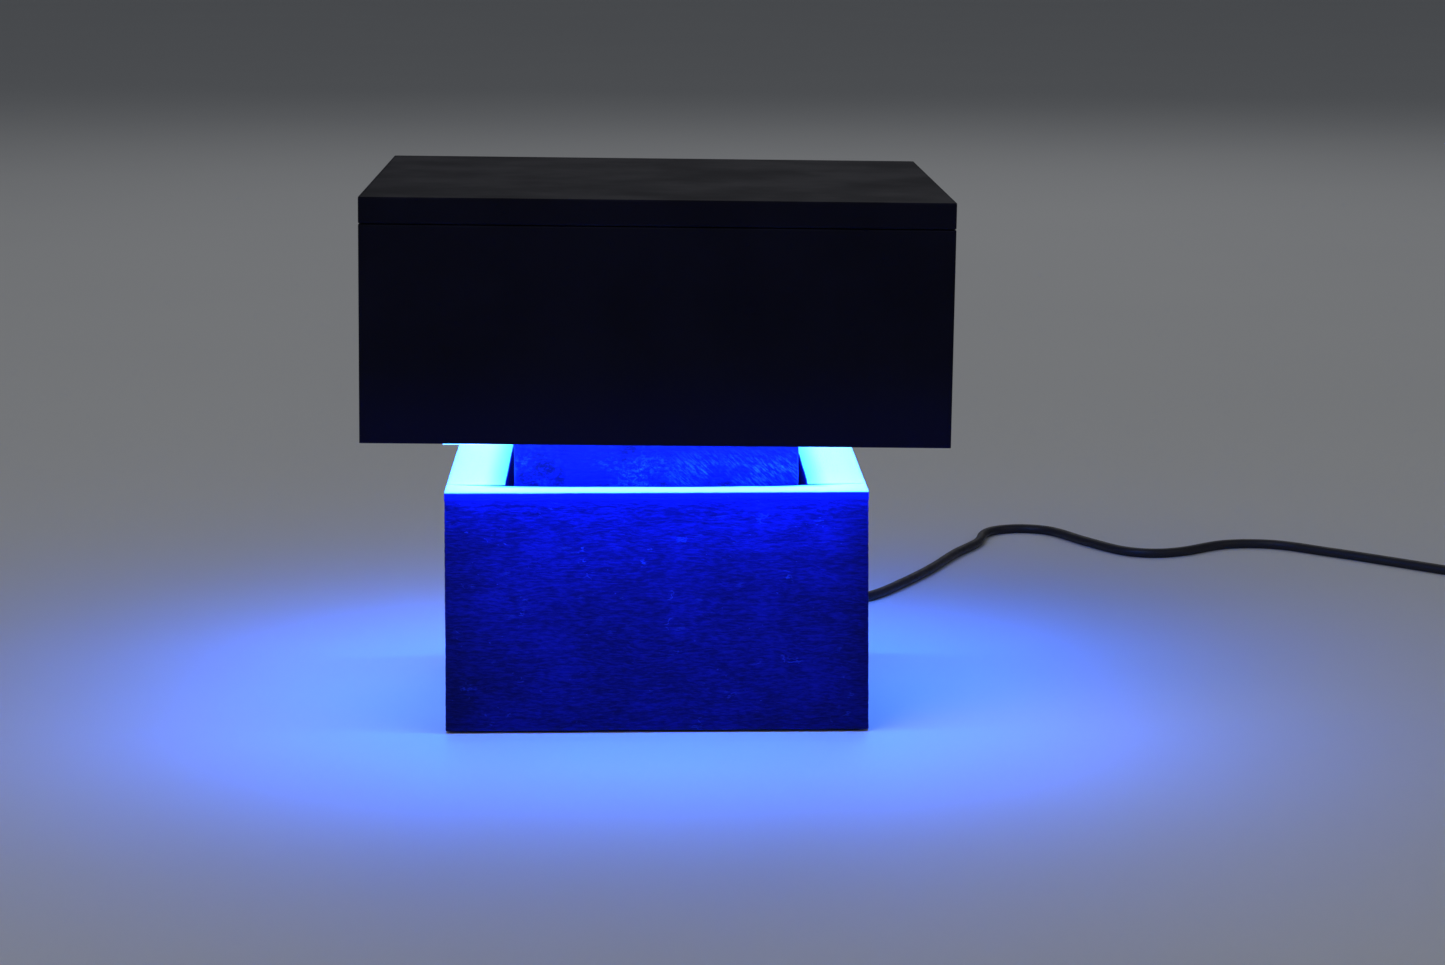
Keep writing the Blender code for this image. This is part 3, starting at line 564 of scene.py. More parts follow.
@dataclass(frozen=True)
class FrostedAcrylic:
    """The diffuser, lit from behind by rows of chips, brightest under each of them."""

    name: str
    strength: float
    pitch: float
    row_x: float
    row_y: float

    def make(self) -> bpy.types.Material:
        """Builds the material."""
        paint = Paint(self.name, Emission_Strength=self.strength, Specular_IOR_Level=0.5)
        away = paint.maths("ABSOLUTE", paint.place)
        off_x, off_y = paint.axis(away, "X"), paint.axis(away, "Y")
        turn = 2.0 * math.pi / self.pitch
        along_x = paint.maths("COSINE", (off_x - self.pitch / 2) * turn) * 0.5 + 0.5
        along_y = paint.maths("COSINE", off_y * turn) * 0.5 + 0.5
        row_x = abs(off_x - self.row_x).step(0.0, 9.0 * MM, 1.0, 0.0)
        row_y = abs(off_y - self.row_y).step(0.0, 9.0 * MM, 1.0, 0.0)
        glow = paint.most(row_x * along_y, row_y * along_x)
        frost = paint.cloud(1400.0, 2.0, 3.0)
        bright = paint.mix(glow, toned(GLOW, 0.72), (0.26, 0.66, 1.0))
        body = paint.mix(frost.step(0.3, 0.7), (0.7, 0.84, 0.93), (0.82, 0.92, 0.97))
        return paint.done(
            Base_Color=body, Emission_Color=bright, Roughness=frost.step(0.2, 0.8, 0.42, 0.55),
            Normal=paint.bump(frost, 0.00002),
        )


@dataclass(frozen=True)
class Glowing:
    """A lit chip's lens."""

    name: str
    strength: float

    def make(self) -> bpy.types.Material:
        """Builds the material."""
        paint = Paint(self.name, Emission_Strength=self.strength, Roughness=0.2)
        grain = paint.cloud(2500.0, 2.0, 1.0)
        hot = paint.mix(grain.step(0.3, 0.7), GLOW, (0.3, 0.7, 1.0))
        body = paint.mix(grain, (0.8, 0.8, 0.5), (0.9, 0.85, 0.45))
        return paint.done(Base_Color=body, Emission_Color=hot)


@dataclass(frozen=True)
class Sheathed:
    """A cord's soft sheath, with faint scuffs and the slight ripple of the cores inside."""

    name: str
    colour: Colour
    rough: float = 0.42

    def make(self) -> bpy.types.Material:
        """Builds the material."""
        paint = Paint(self.name, Specular_IOR_Level=0.45)
        scuffs = paint.drawn(Axis.Z, 900.0, 300.0, 3.0, 1.0)
        ripple = paint.cloud(160.0, 2.0, 4.0)
        colour = paint.mix(scuffs.step(0.62, 0.8) * 0.5, self.colour, toned(self.colour, 0.7, 0.05))
        rough = scuffs.step(0.3, 0.8, self.rough, self.rough + 0.2)
        return paint.done(Base_Color=colour, Roughness=rough, Normal=paint.bump(ripple, 0.0001))


@dataclass(frozen=True)
class Labelled:
    """The driver's case, with a blank label on one face."""

    name: str
    case: Colour
    label: Colour
    low: Point
    high: Point

    def make(self) -> bpy.types.Material:
        """Builds the material."""
        paint = Paint(self.name)
        fine = paint.cloud(2200.0, 2.0, 1.0)
        mask: Term = 1.0
        for name, low, high in zip("XYZ", self.low, self.high):
            part = paint.axis(paint.place, name)
            edge = 0.1 * MM
            mask = part.step(low - edge, low) * part.step(high, high + edge, 1.0, 0.0) * mask
        rows = paint.maths("SINE", paint.axis(paint.place, "Z") * 900.0)
        label = paint.mix(rows.step(0.82, 0.95) * 0.35, self.label, (0.25, 0.27, 0.3))
        colour = paint.mix(mask, paint.mix(fine * 0.2, self.case, (0.5, 0.5, 0.5)), label)
        rough = fine.step(0.3, 0.7, 0.42, 0.52)
        return paint.done(Base_Color=colour, Roughness=rough, Normal=paint.bump(fine, 0.00002))


@dataclass(frozen=True)
class Woven:
    """A narrow woven strap with a soft pile."""

    name: str
    colour: Colour

    def make(self) -> bpy.types.Material:
        """Builds the material."""
        paint = Paint(self.name, Sheen_Weight=0.4, Roughness=0.9)
        weave = paint.cloud(3200.0, 2.0, 2.0)
        colour = paint.mix(weave.step(0.35, 0.7), self.colour, toned(self.colour, 2.2, 0.01))
        return paint.done(Base_Color=colour, Normal=paint.bump(weave, 0.0001))


class Finishes:
    """Every finish of the object, made when it is first asked for."""

    def __init__(self) -> None:
        """Lists the finishes."""
        low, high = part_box("base_front_board")
        opening = (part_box("base_right_board")[0].x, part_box("base_back_board")[0].y)
        hood_low, hood_high = joint_box([f"hood_{side}_board" for side in ("front", "back", "top")])
        centre = (hood_low + hood_high) / 2
        rim = {"top": high.z, "half": (high.x, abs(low.y)), "opening": opening}
        self.recipes: dict[str, Any] = {
            "base_x": RimmedTimber("base_timber_across", Axis.X, **rim),
            "base_y": RimmedTimber("base_timber_sides", Axis.Y, **rim),
            "column_x": MottledTimber("column_timber", Axis.X),
            "hood": PaintedTimber(
                "hood_paint", (0.0032, 0.0034, 0.012), (0.012, 0.013, 0.04), (0.34, 0.25, 0.15),
                tuple(centre), HOOD_HALF,
            ),
            "plain_x": PlainTimber("softwood_across", Axis.X),
            "plain_y": PlainTimber("softwood_lengthways", Axis.Y),
            "aluminium_x": BrushedMetal("aluminium_sheet", (0.66, 0.68, 0.7), Axis.X),
            "aluminium_y": BrushedMetal("aluminium_angle", (0.66, 0.68, 0.7), Axis.Y),
            "zinc": BrushedMetal("zinc_plate", (0.6, 0.6, 0.58), Axis.Z, 0.28),
            "nickel": BrushedMetal("nickel_plate", (0.72, 0.7, 0.66), Axis.Z, 0.18),
            "coat": Moulded("powder_coat", (0.02, 0.02, 0.034), 0.52, 1500.0, 0.00005),
            "black": Moulded("black_moulding", (0.014, 0.014, 0.018), 0.4),
            "rubber": Moulded("pad_rubber", (0.02, 0.02, 0.02), 0.85, 1800.0, 0.00005),
            "mark": Moulded("mark_white", (0.75, 0.77, 0.8), 0.5),
            "mask": Moulded("solder_mask", (0.8, 0.82, 0.84), 0.38),
            "chip": Moulded("chip_housing", (0.85, 0.85, 0.8), 0.5),
            "copper": BrushedMetal("solder", (0.75, 0.74, 0.72), Axis.X, 0.3),
            "lens": Glowing("chip_lens", 6.0),
            "diffuser": FrostedAcrylic("frosted_acrylic", 9.0, LED_PITCH, *LED_ROWS),
            "sheath": Sheathed("cord_sheath", (0.008, 0.008, 0.016)),
            "lead": Sheathed("lead_sheath", (0.03, 0.03, 0.034)),
            "strap": Woven("strap_weave", (0.012, 0.012, 0.016)),
            "driver": Labelled(
                "driver_case", (0.62, 0.62, 0.6), (0.85, 0.85, 0.85),
                (-5.0 * MM, -12.6 * MM, 76.0 * MM), (25.0 * MM, -11.0 * MM, 134.0 * MM),
            ),
        }
        self.made: dict[str, bpy.types.Material] = {}

    def __getitem__(self, key: str) -> bpy.types.Material:
        """The material of that finish."""
        if key not in self.made:
            self.made[key] = self.recipes[key].make()
        return self.made[key]


# ---------------------------------------------------------------- shapes


def joint_box(nodes: Iterable[str]) -> tuple[Vector, Vector]:
    """The lowest and highest corners of several nodes together."""
    boxes = [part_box(node) for node in nodes]
    low = Vector([min(box[0][axis] for box in boxes) for axis in range(3)])
    high = Vector([max(box[1][axis] for box in boxes) for axis in range(3)])
    return low, high


def linked(name: str, data: Any) -> bpy.types.Object:
    """A new object in the scene."""
    thing = bpy.data.objects.new(name, data)
    bpy.context.scene.collection.objects.link(thing)
    return thing


def baked(carrier: bpy.types.Object) -> bpy.types.Mesh:
    """A carrier's mesh with its modifiers applied, after which the carrier goes."""
    graph = bpy.context.evaluated_depsgraph_get()
    graph.update()
    mesh = bpy.data.meshes.new_from_object(
        carrier.evaluated_get(graph), preserve_all_data_layers=True, depsgraph=graph
    )
    bpy.data.objects.remove(carrier)
    return mesh


class ShapeTree(NodeSheet):
    """A Geometry Nodes tree with named inputs."""

    def __init__(self, name: str, inputs: dict[str, str]) -> None:
        """Starts a tree.

        Args:
            name: The tree's name.
            inputs: Each input's name and its kind: Geometry, Float, Int, Vector or Material.
        """
        super().__init__(bpy.data.node_groups.new(name, "GeometryNodeTree"))
        face = self.tree.interface
        for label, kind in inputs.items():
            face.new_socket(label, in_out="INPUT", socket_type=f"NodeSocket{kind}")
        face.new_socket("Geometry", in_out="OUTPUT", socket_type="NodeSocketGeometry")
        self.source = self.tree.nodes.new("NodeGroupInput")

    def __getitem__(self, name: str) -> Wire:
        """One of the tree's own inputs."""
        return Wire(self, self.source.outputs[name])

    def store(self, shape: Wire, name: str, value: Term) -> Wire:
        """Writes a number on every point of a shape."""
        return self.add(
            "GeometryNodeStoreNamedAttribute", {"data_type": "FLOAT", "domain": "POINT"},
            {"Geometry": shape, "Name": name, "Value": value},
        )

    def stored(self, name: str, kind: str = "FLOAT") -> Wire:
        """A number, or a value of another kind, that the shape carries."""
        return self.add("GeometryNodeInputNamedAttribute", {"data_type": kind}, {"Name": name})

    def close(self, shape: Wire, finishes: Sequence[str]) -> None:
        """Ends the tree in plain geometry and its materials.

        Args:
            shape: What the tree has made.
            finishes: Inputs with its materials; of several, "kind" on its points picks one.
        """
        shape = self.add("GeometryNodeRealizeInstances", None, {0: shape})
        for number, finish in enumerate(finishes):
            chosen: Term = True
            if len(finishes) > 1:
                chosen = self.maths("COMPARE", self.stored("kind"), float(number), 0.1)
            shape = self.add("GeometryNodeSetMaterial", None, {
                "Geometry": shape, "Selection": chosen, "Material": self[finish],
            })
        end = self.tree.nodes.new("NodeGroupOutput")
        self.tree.links.new(shape.socket, end.inputs[0])

    def mesh(
        self, name: str, values: dict[str, Any], source: Optional[bpy.types.Mesh] = None
    ) -> bpy.types.Mesh:
        """Runs the tree and returns what it makes as a plain mesh.

        Args:
            name: The new mesh's name.
            values: The values of the tree's inputs, by name.
            source: The mesh that the tree starts from, if any.

        Returns:
            The new mesh.
        """
        carrier = linked(f"{name}_carrier", source or bpy.data.meshes.new(f"{name}_seed"))
        modifier = carrier.modifiers.new(name, "NODES")
        modifier.node_group = self.tree
        for item in self.tree.interface.items_tree:
            if item.in_out == "INPUT" and item.name in values:
                modifier[item.identifier] = values[item.name]
        mesh = baked(carrier)
        mesh.name = name
        return mesh


@dataclass(frozen=True)
class Sawing:
    """How a kind of board is worked, in metres."""

    edge: float  # the radius of its eased edges
    fibre: float  # how deep the fibres are cut
    wave: float  # how deep its slow waves are
    tear: float = 0.0  # how deep the torn spots are
    calm: float = 0.0  # how far below its top edge the face is smooth
    splay: float = 0.0  # how much wider than its top its foot is, as a share


class BoardMill:
    """Makes boards with eased edges and a rough, fibrous face."""

    CROWDING = 0.6  # how much closer the cells lie at a board's edges
    FEWEST_CELLS = 3
    GRAIN = (75.0, 620.0)  # features per metre along and across the grain

    def __init__(self) -> None:
        """Builds the tree that every board is made with."""
        numbers = ("Edge", "Fibre", "Wave", "Tear", "Calm", "Splay", "Lean", "Dip", "Seed")
        tree = self.tree = ShapeTree("sawn_board", {
            "Size": "Vector", "Centre": "Vector", "Grain": "Vector",
            **{f"Cells {axis}": "Int" for axis in "XYZ"},
            **{name: "Float" for name in numbers}, "Finish": "Material",
        })
        cells = {f"Vertices {axis}": tree[f"Cells {axis}"] for axis in "XYZ"}
        block = tree.add("GeometryNodeMeshCube", None, {"Size": (2.0, 2.0, 2.0), **cells})
        unit = tree.add("GeometryNodeInputPosition")
        spread = unit + tree.maths("SINE", unit * math.pi) * (self.CROWDING / math.pi)
        half = tree["Size"] * 0.5
        ideal = spread * half
        inner = half - tree["Edge"]
        kept = tree.most(tree.maths("MINIMUM", ideal, inner), inner * -1.0)
        eased = kept + tree.maths("NORMALIZE", ideal - kept) * tree["Edge"]
        arris = tree.maths("LENGTH", ideal - eased, out=1) / tree["Edge"] * 4.0
        upper = tree.axis(spread, "Z") * 0.5 + 0.5
        middle = 1.0 - tree.axis(unit, "X") * tree.axis(unit, "X")
        dip = tree["Dip"] * middle * tree.axis(spread, "Y").step(-0.4, 1.0)
        rise = (tree.axis(eased, "X") * tree["Lean"] - dip) * upper
        placed = eased + tree["Centre"] + tree.vector(0.0, 0.0, rise)
        spread_foot = tree.axis(placed, "X") * tree["Splay"] * (1.0 - upper)
        placed = placed + tree.vector(spread_foot, 0.0, 0.0)
        below = (1.0 - tree.axis(spread, "Z")) * tree.axis(half, "Z")
        shape = tree.store(block, "arris", tree.maths("MINIMUM", arris, 1.0))
        shape = tree.store(shape, "below", below)
        shape = tree.add("GeometryNodeSetPosition", None, {"Geometry": shape, "Position": placed})
        self._carve(tree, shape)

    @staticmethod
    def _carve(tree: ShapeTree, shape: Wire) -> None:
        """Takes fibres, waves and torn spots out of the board's faces."""
        place = tree.add("GeometryNodeInputPosition")
        normal = tree.add("GeometryNodeInputNormal")
        seed = tree["Seed"]
        along = place * tree["Grain"]
        calm = tree.stored("below").step(tree["Calm"] * 0.7, tree["Calm"] + 0.0001, 0.15, 1.0)
        fibre = tree.noise(along, 1.0, 3.0, seed, 0.6)
        wave = tree.noise(place, 22.0, 1.0, seed + 3.0)
        spots = tree.noise(along * 2.2, 1.0, 2.0, seed + 8.0)
        patches = tree.noise(place, 55.0, 2.0, seed + 5.0)
        torn = spots.step(0.6, 0.68) * patches.step(0.52, 0.6)
        shape = tree.store(shape, "torn", torn * calm)
        depth = (fibre * tree["Fibre"] + torn * tree["Tear"]) * calm + wave * tree["Wave"]
        carved = normal * depth * -1.0
        shape = tree.add("GeometryNodeSetPosition", None, {"Geometry": shape, "Offset": carved})
        tree.close(tree.add("GeometryNodeSetShadeSmooth", None, {"Geometry": shape}), ["Finish"])

    def board(
        self, name: str, low: Vector, high: Vector, grain: Axis, cell_mm: Point,
        finish: bpy.types.Material, sawing: Sawing, seed: float, lean: float = 0.0,
        dip: float = 0.0,
    ) -> bpy.types.Mesh:
        """One board between two corners.

        Args:
            name: The mesh's name.
            low: Its lowest corner.
            high: Its highest corner, at the middle of a top that leans.
            grain: The way that its grain runs.
            cell_mm: The size of its cells for each axis.
            finish: Its material.
            sawing: How it is worked.
            seed: Picks the pattern.
            lean: The slope of its top along X.
            dip: How far its top is worn down at the middle of its back edge.

        Returns:
            The board's mesh.
        """
        size = high - low
        cells = {
            f"Cells {axis}": max(self.FEWEST_CELLS, round(length / (cell * MM)) + 1)
            for axis, length, cell in zip("XYZ", size, cell_mm)
        }
        return self.tree.mesh(name, {
            "Size": tuple(size), "Centre": tuple((low + high) / 2), **cells,
            **{part.capitalize(): value for part, value in asdict(sawing).items()},
            "Grain": grain.stretched(*self.GRAIN), "Lean": lean, "Dip": dip, "Seed": seed,
            "Finish": finish,
        })


def mesh_of(form: bmesh.types.BMesh, name: str, sharp: float = 35.0) -> bpy.types.Mesh:
    """A mesh of what a bmesh holds, shaded smooth up to an angle."""
    mesh = bpy.data.meshes.new(name)
    form.to_mesh(mesh)
    form.free()
    mesh.shade_smooth()
    mesh.set_sharp_from_angle(angle=math.radians(sharp))
    return mesh


def turned(name: str, profile_mm: Profile, segments: int = 48) -> bpy.types.Mesh:
    """A solid turned round Z from points in millimetres; off the axis, its ends are joined."""
    form = bmesh.new()
    verts = [form.verts.new((radius, 0.0, height)) for radius, height in profile_mm]
    edges = [form.edges.new(pair) for pair in zip(verts, verts[1:])]
    if profile_mm[0][0] > 0.0:
        edges.append(form.edges.new((verts[-1], verts[0])))
    bmesh.ops.spin(
        form, geom=verts + edges, axis=(0, 0, 1), cent=(0, 0, 0), angle=math.tau, steps=segments,
        use_merge=True,
    )
    bmesh.ops.remove_doubles(form, verts=form.verts, dist=0.001)
    bmesh.ops.recalc_face_normals(form, faces=form.faces)
    bmesh.ops.scale(form, vec=(MM,) * 3, verts=form.verts)
    return mesh_of(form, name)


def eased(mesh: bpy.types.Mesh, width: float, segments: int = 2) -> bpy.types.Mesh:
    """A mesh with its sharp edges eased over a width, with so many faces across each."""
    carrier = linked(f"{mesh.name}_carrier", mesh)
    bevel = carrier.modifiers.new("eased", "BEVEL")
    bevel.width = width
    bevel.segments = segments
    bevel.limit_method = "ANGLE"
    bevel.angle_limit = math.radians(40.0)
    return baked(carrier)


def eased_copy(node: str, width: float, segments: int = 2) -> bpy.types.Mesh:
    """A CAD node's own shape with its sharp edges eased.

    Args:
        node: The CAD node.
        width: The width of the eased edge, in metres.
        segments: Faces across the eased edge.

    Returns:
        The new mesh.
    """
    form = bmesh.new()
    form.from_mesh(frame["nodes"][node].data)
    bmesh.ops.remove_doubles(form, verts=form.verts, dist=1e-6)
    flat = math.radians(0.5)
    bmesh.ops.dissolve_limit(form, angle_limit=flat, verts=form.verts, edges=form.edges)
    return eased(mesh_of(form, f"{node}_eased"), width, segments)


def cut_away(mesh: bpy.types.Mesh, tools: Sequence[bpy.types.Mesh]) -> bpy.types.Mesh:
    """A mesh with the shapes of others taken away."""
    carrier = linked(f"{mesh.name}_carrier", mesh)
    cutters = [linked(tool.name, tool) for tool in tools]
    for cutter in cutters:
        boolean = carrier.modifiers.new(cutter.name, "BOOLEAN")
        boolean.operation = "DIFFERENCE"
        boolean.solver = "EXACT"
        boolean.object = cutter
    result = baked(carrier)
    for cutter in cutters:
        bpy.data.objects.remove(cutter)
    return result


def block(name: str, low: Sequence[float], high: Sequence[float]) -> bpy.types.Mesh:
    """A plain box, used to cut with."""
    low, high = Vector(low), Vector(high)
    form = bmesh.new()
    bmesh.ops.create_cube(form, size=1.0)
    bmesh.ops.scale(form, vec=high - low, verts=form.verts)
    bmesh.ops.translate(form, vec=(low + high) / 2, verts=form.verts)
    return mesh_of(form, name)


def pointing(axis: Sequence[float], place: Sequence[float]) -> Matrix:
    """The matrix that takes a shape made along Z to a place and an axis."""
    return Matrix.Translation(place) @ Vector(axis).to_track_quat("Z", "Y").to_matrix().to_4x4()


def lying(node: str) -> Matrix:
    """The matrix that takes a shape made along Z to a round node that lies along Y."""
    low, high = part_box(node)
    return pointing((0, 1, 0), ((low.x + high.x) / 2, low.y, (low.z + high.z) / 2))


def upright(node: str) -> tuple[Matrix, float, float]:
    """Where a round node stands, and its radius and height in millimetres."""
    low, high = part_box(node)
    place = Matrix.Translation(((low.x + high.x) / 2, (low.y + high.y) / 2, low.z))
    return place, (high.x - low.x) / 2 / MM, (high.z - low.z) / MM


# ---------------------------------------------------------------- fasteners


class ScrewPress:
    """Makes pan-head screws with a cross recess and a thread, one mesh for each group."""

    DOMELESS = 0.86  # the share of a head's height below its dome
    PITCH = 0.75  # the thread's pitch for each part of the shank's radius

    def __init__(self) -> None:
        """Builds the tree: a domed head with a cross and a threaded shank, on every point."""
        sizes = ("Head Radius", "Head Height", "Shank Radius", "Shank Length", "Pitch")
        tree = self.tree = ShapeTree("pan_head_screw", {
            "Geometry": "Geometry", **{name: "Float" for name in sizes}, "Seed": "Int",
            "Finish": "Material",
        })
        radius, height = tree["Head Radius"], tree["Head Height"]
        head = tree.add("GeometryNodeMeshCylinder", {"fill_type": "TRIANGLE_FAN"}, {
            "Vertices": 32, "Side Segments": 6, "Fill Segments": 5, "Radius": radius,
            "Depth": height,
        })
        at = tree.add("GeometryNodeInputPosition")
        up = tree.axis(at, "Z") / height + 0.5
        flat = at * (1.0, 1.0, 0.0)
        out = tree.maths("LENGTH", flat, out=1) / radius
        narrow = 1.0 - up * up * up * 0.3
        crown = (1.0 - out * out) * up * height * 0.22
        lift = tree.axis(at, "Z") + height * 0.5 + crown
        domed = flat * narrow + tree.vector(0.0, 0.0, lift)
        head = tree.add("GeometryNodeSetPosition", None, {"Geometry": head, "Position": domed})
        slots = [self._slot(tree, radius, height, turn) for turn in (0.0, math.pi / 2)]
        solid = self._joined(tree, "UNION", {"Mesh 2": [head, self._shank(tree)]})
        solid = self._joined(tree, "DIFFERENCE", {"Mesh 1": solid, "Mesh 2": slots})
        axis = tree.stored("axis", "FLOAT_VECTOR")
        aim = tree.add("FunctionNodeAlignRotationToVector", {"axis": "Z"}, {"Vector": axis})
        spin = tree.add(
            "FunctionNodeRandomValue", {"data_type": "FLOAT"},
            {2: 0.0, 3: math.tau, "Seed": tree["Seed"]}, 1,
        )
        twist = tree.add("FunctionNodeAxisAngleToRotation", None, {
            "Axis": (0.0, 0.0, 1.0), "Angle": spin,
        })
        aim = tree.add("FunctionNodeRotateRotation", {"rotation_space": "LOCAL"}, {
            "Rotation": aim, "Rotate By": twist,
        })
        placed = tree.add("GeometryNodeInstanceOnPoints", None, {
            "Points": tree["Geometry"], "Instance": solid, "Rotation": aim,
        })
        tree.close(placed, ["Finish"])

    @staticmethod
    def _joined(tree: ShapeTree, operation: str, meshes: dict[str, Any]) -> Wire:
        """What an exact boolean makes of meshes."""
        settings = {"operation": operation, "solver": "EXACT"}
        return tree.add("GeometryNodeMeshBoolean", settings, meshes)

    @staticmethod
    def _shank(tree: ShapeTree) -> Wire:
        """A threaded shank below the head, with a point."""
        radius, length = tree["Shank Radius"], tree["Shank Length"]
        shank = tree.add("GeometryNodeMeshCylinder", {"fill_type": "TRIANGLE_FAN"}, {
            "Vertices": 18, "Side Segments": 96, "Radius": radius, "Depth": length,
        })
        at = tree.add("GeometryNodeInputPosition")
        height = tree.axis(at, "Z")
        angle = tree.maths("ARCTAN2", tree.axis(at, "Y"), tree.axis(at, "X")) / math.tau
        phase = tree.maths("FRACT", height / tree["Pitch"] - angle + 40.0)
        crest = 1.0 - abs(phase - 0.5) * 0.44
        tip = ((height + length * 0.5) / (radius * 1.6)).step(0.0, 1.0, 0.25, 1.0)
        down = height - length * 0.5 + 0.0002
        shape = at * (1.0, 1.0, 0.0) * crest * tip + tree.vector(0.0, 0.0, down)
        return tree.add("GeometryNodeSetPosition", None, {"Geometry": shank, "Position": shape})

    @staticmethod
    def _slot(tree: ShapeTree, radius: Wire, height: Wire, turn: float) -> Wire:
        """One bar of the cross recess."""
        size = tree.vector(radius * 1.1, radius * 0.26, height * 1.1)
        bar = tree.add("GeometryNodeMeshCube", None, {"Size": size})
        middle = tree.vector(0.0, 0.0, height * 1.05)
        return tree.add("GeometryNodeTransform", None, {
            "Geometry": bar, "Translation": middle, "Rotation": (0.0, 0.0, turn),
        })

    def mesh(
        self, name: str, nodes: Sequence[str], axes: Sequence[Point], sizes_mm: Sequence[float],
        finish: bpy.types.Material, seed: int,
    ) -> bpy.types.Mesh:
        """A group of screws as one mesh.

        Args:
            name: The mesh's name.
            nodes: The screws' CAD nodes.
            axes: The way that each head looks.
            sizes_mm: Head radius, head height, shank radius and shank length.
            finish: The screws' material.
            seed: Picks how far each is turned.

        Returns:
            The mesh.
        """
        head_radius, head_height, shank_radius, shank_length = (size * MM for size in sizes_mm)
        places = []
        for node, axis in zip(nodes, axes):
            low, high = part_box(node)
            seat = (shank_length - head_height) / 2  # from the node's middle to under its head
            places.append((low + high) / 2 + Vector(axis) * seat)
        seats = bpy.data.meshes.new(f"{name}_seats")
        seats.from_pydata(places, [], [])
        kept = seats.attributes.new("axis", "FLOAT_VECTOR", "POINT")
        kept.data.foreach_set("vector", [part for axis in axes for part in axis])
        mesh = self.tree.mesh(name, {
            "Head Radius": head_radius, "Head Height": head_height * self.DOMELESS,
            "Shank Radius": shank_radius, "Shank Length": shank_length,
            "Pitch": shank_radius * self.PITCH, "Seed": seed, "Finish": finish,
        }, seats)
        mesh.shade_smooth()
        mesh.set_sharp_from_angle(angle=math.radians(38.0))
        return mesh


# ---------------------------------------------------------------- sub-assemblies


@dataclass
class Workshop:
    """What every sub-assembly is made with, and the ways that its pieces are put in place."""

    finishes: Finishes
    mill: BoardMill
    screws: ScrewPress

    def put(
        self, name: str, mesh: bpy.types.Mesh, slot: str, nodes: Sequence[str] = (),
        finish: str = "", place: Optional[Matrix] = None, body: Body = Body.BASE,
    ) -> bpy.types.Object:
        """Puts a finished mesh in the scene as a piece.

        Args:
            name: The piece's name.
            mesh: Its mesh.
            slot: The record's material slot. Not used.
            nodes: The CAD nodes that it stands for.
            finish: Its finish, where the mesh has none yet.
            place: A matrix that takes the mesh to its place.
            body: The body that it rides on.

        Returns:
            The new object.
        """
        if place is not None:
            mesh.transform(place)
        if finish:
            mesh.materials.clear()
            mesh.materials.append(self.finishes[finish])
        piece = linked(name, mesh)
        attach(piece, body.value)
        if nodes:
            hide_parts(*nodes)
        LOG.info("%s: %d faces, rides on %s", name, len(mesh.polygons), body.value)
        return piece

    def put_eased(
        self, name: str, node: str, edge_mm: float, slot: str, finish: str, segments: int = 2,
        body: Body = Body.BASE,
    ) -> None:
        """Puts a CAD node's own shape in place, with its sharp edges eased.

        Args:
            name: The piece's name.
            node: The CAD node.
            edge_mm: The width of the eased edge.
            slot: The record's material slot.
            finish: Its finish.
            segments: Faces across the eased edge.
            body: The body that it rides on.
        """
        self.put(name, eased_copy(node, edge_mm * MM, segments), slot, [node], finish, body=body)

    def fasten(
        self, name: str, nodes: Sequence[str], axes: Sequence[Point], sizes_mm: Sequence[float],
        seed: int,
    ) -> None:
        """Puts a group of screws in place.

        Args:
            name: The piece's name.
            nodes: The screws' CAD nodes.
            axes: The way that each head looks.
            sizes_mm: Head radius, head height, shank radius and shank length.
            seed: Picks how far each is turned.
        """
        mesh = self.screws.mesh(name, nodes, axes, sizes_mm, self.finishes["zinc"], seed)
        self.put(name, mesh, "screw_steel", nodes)


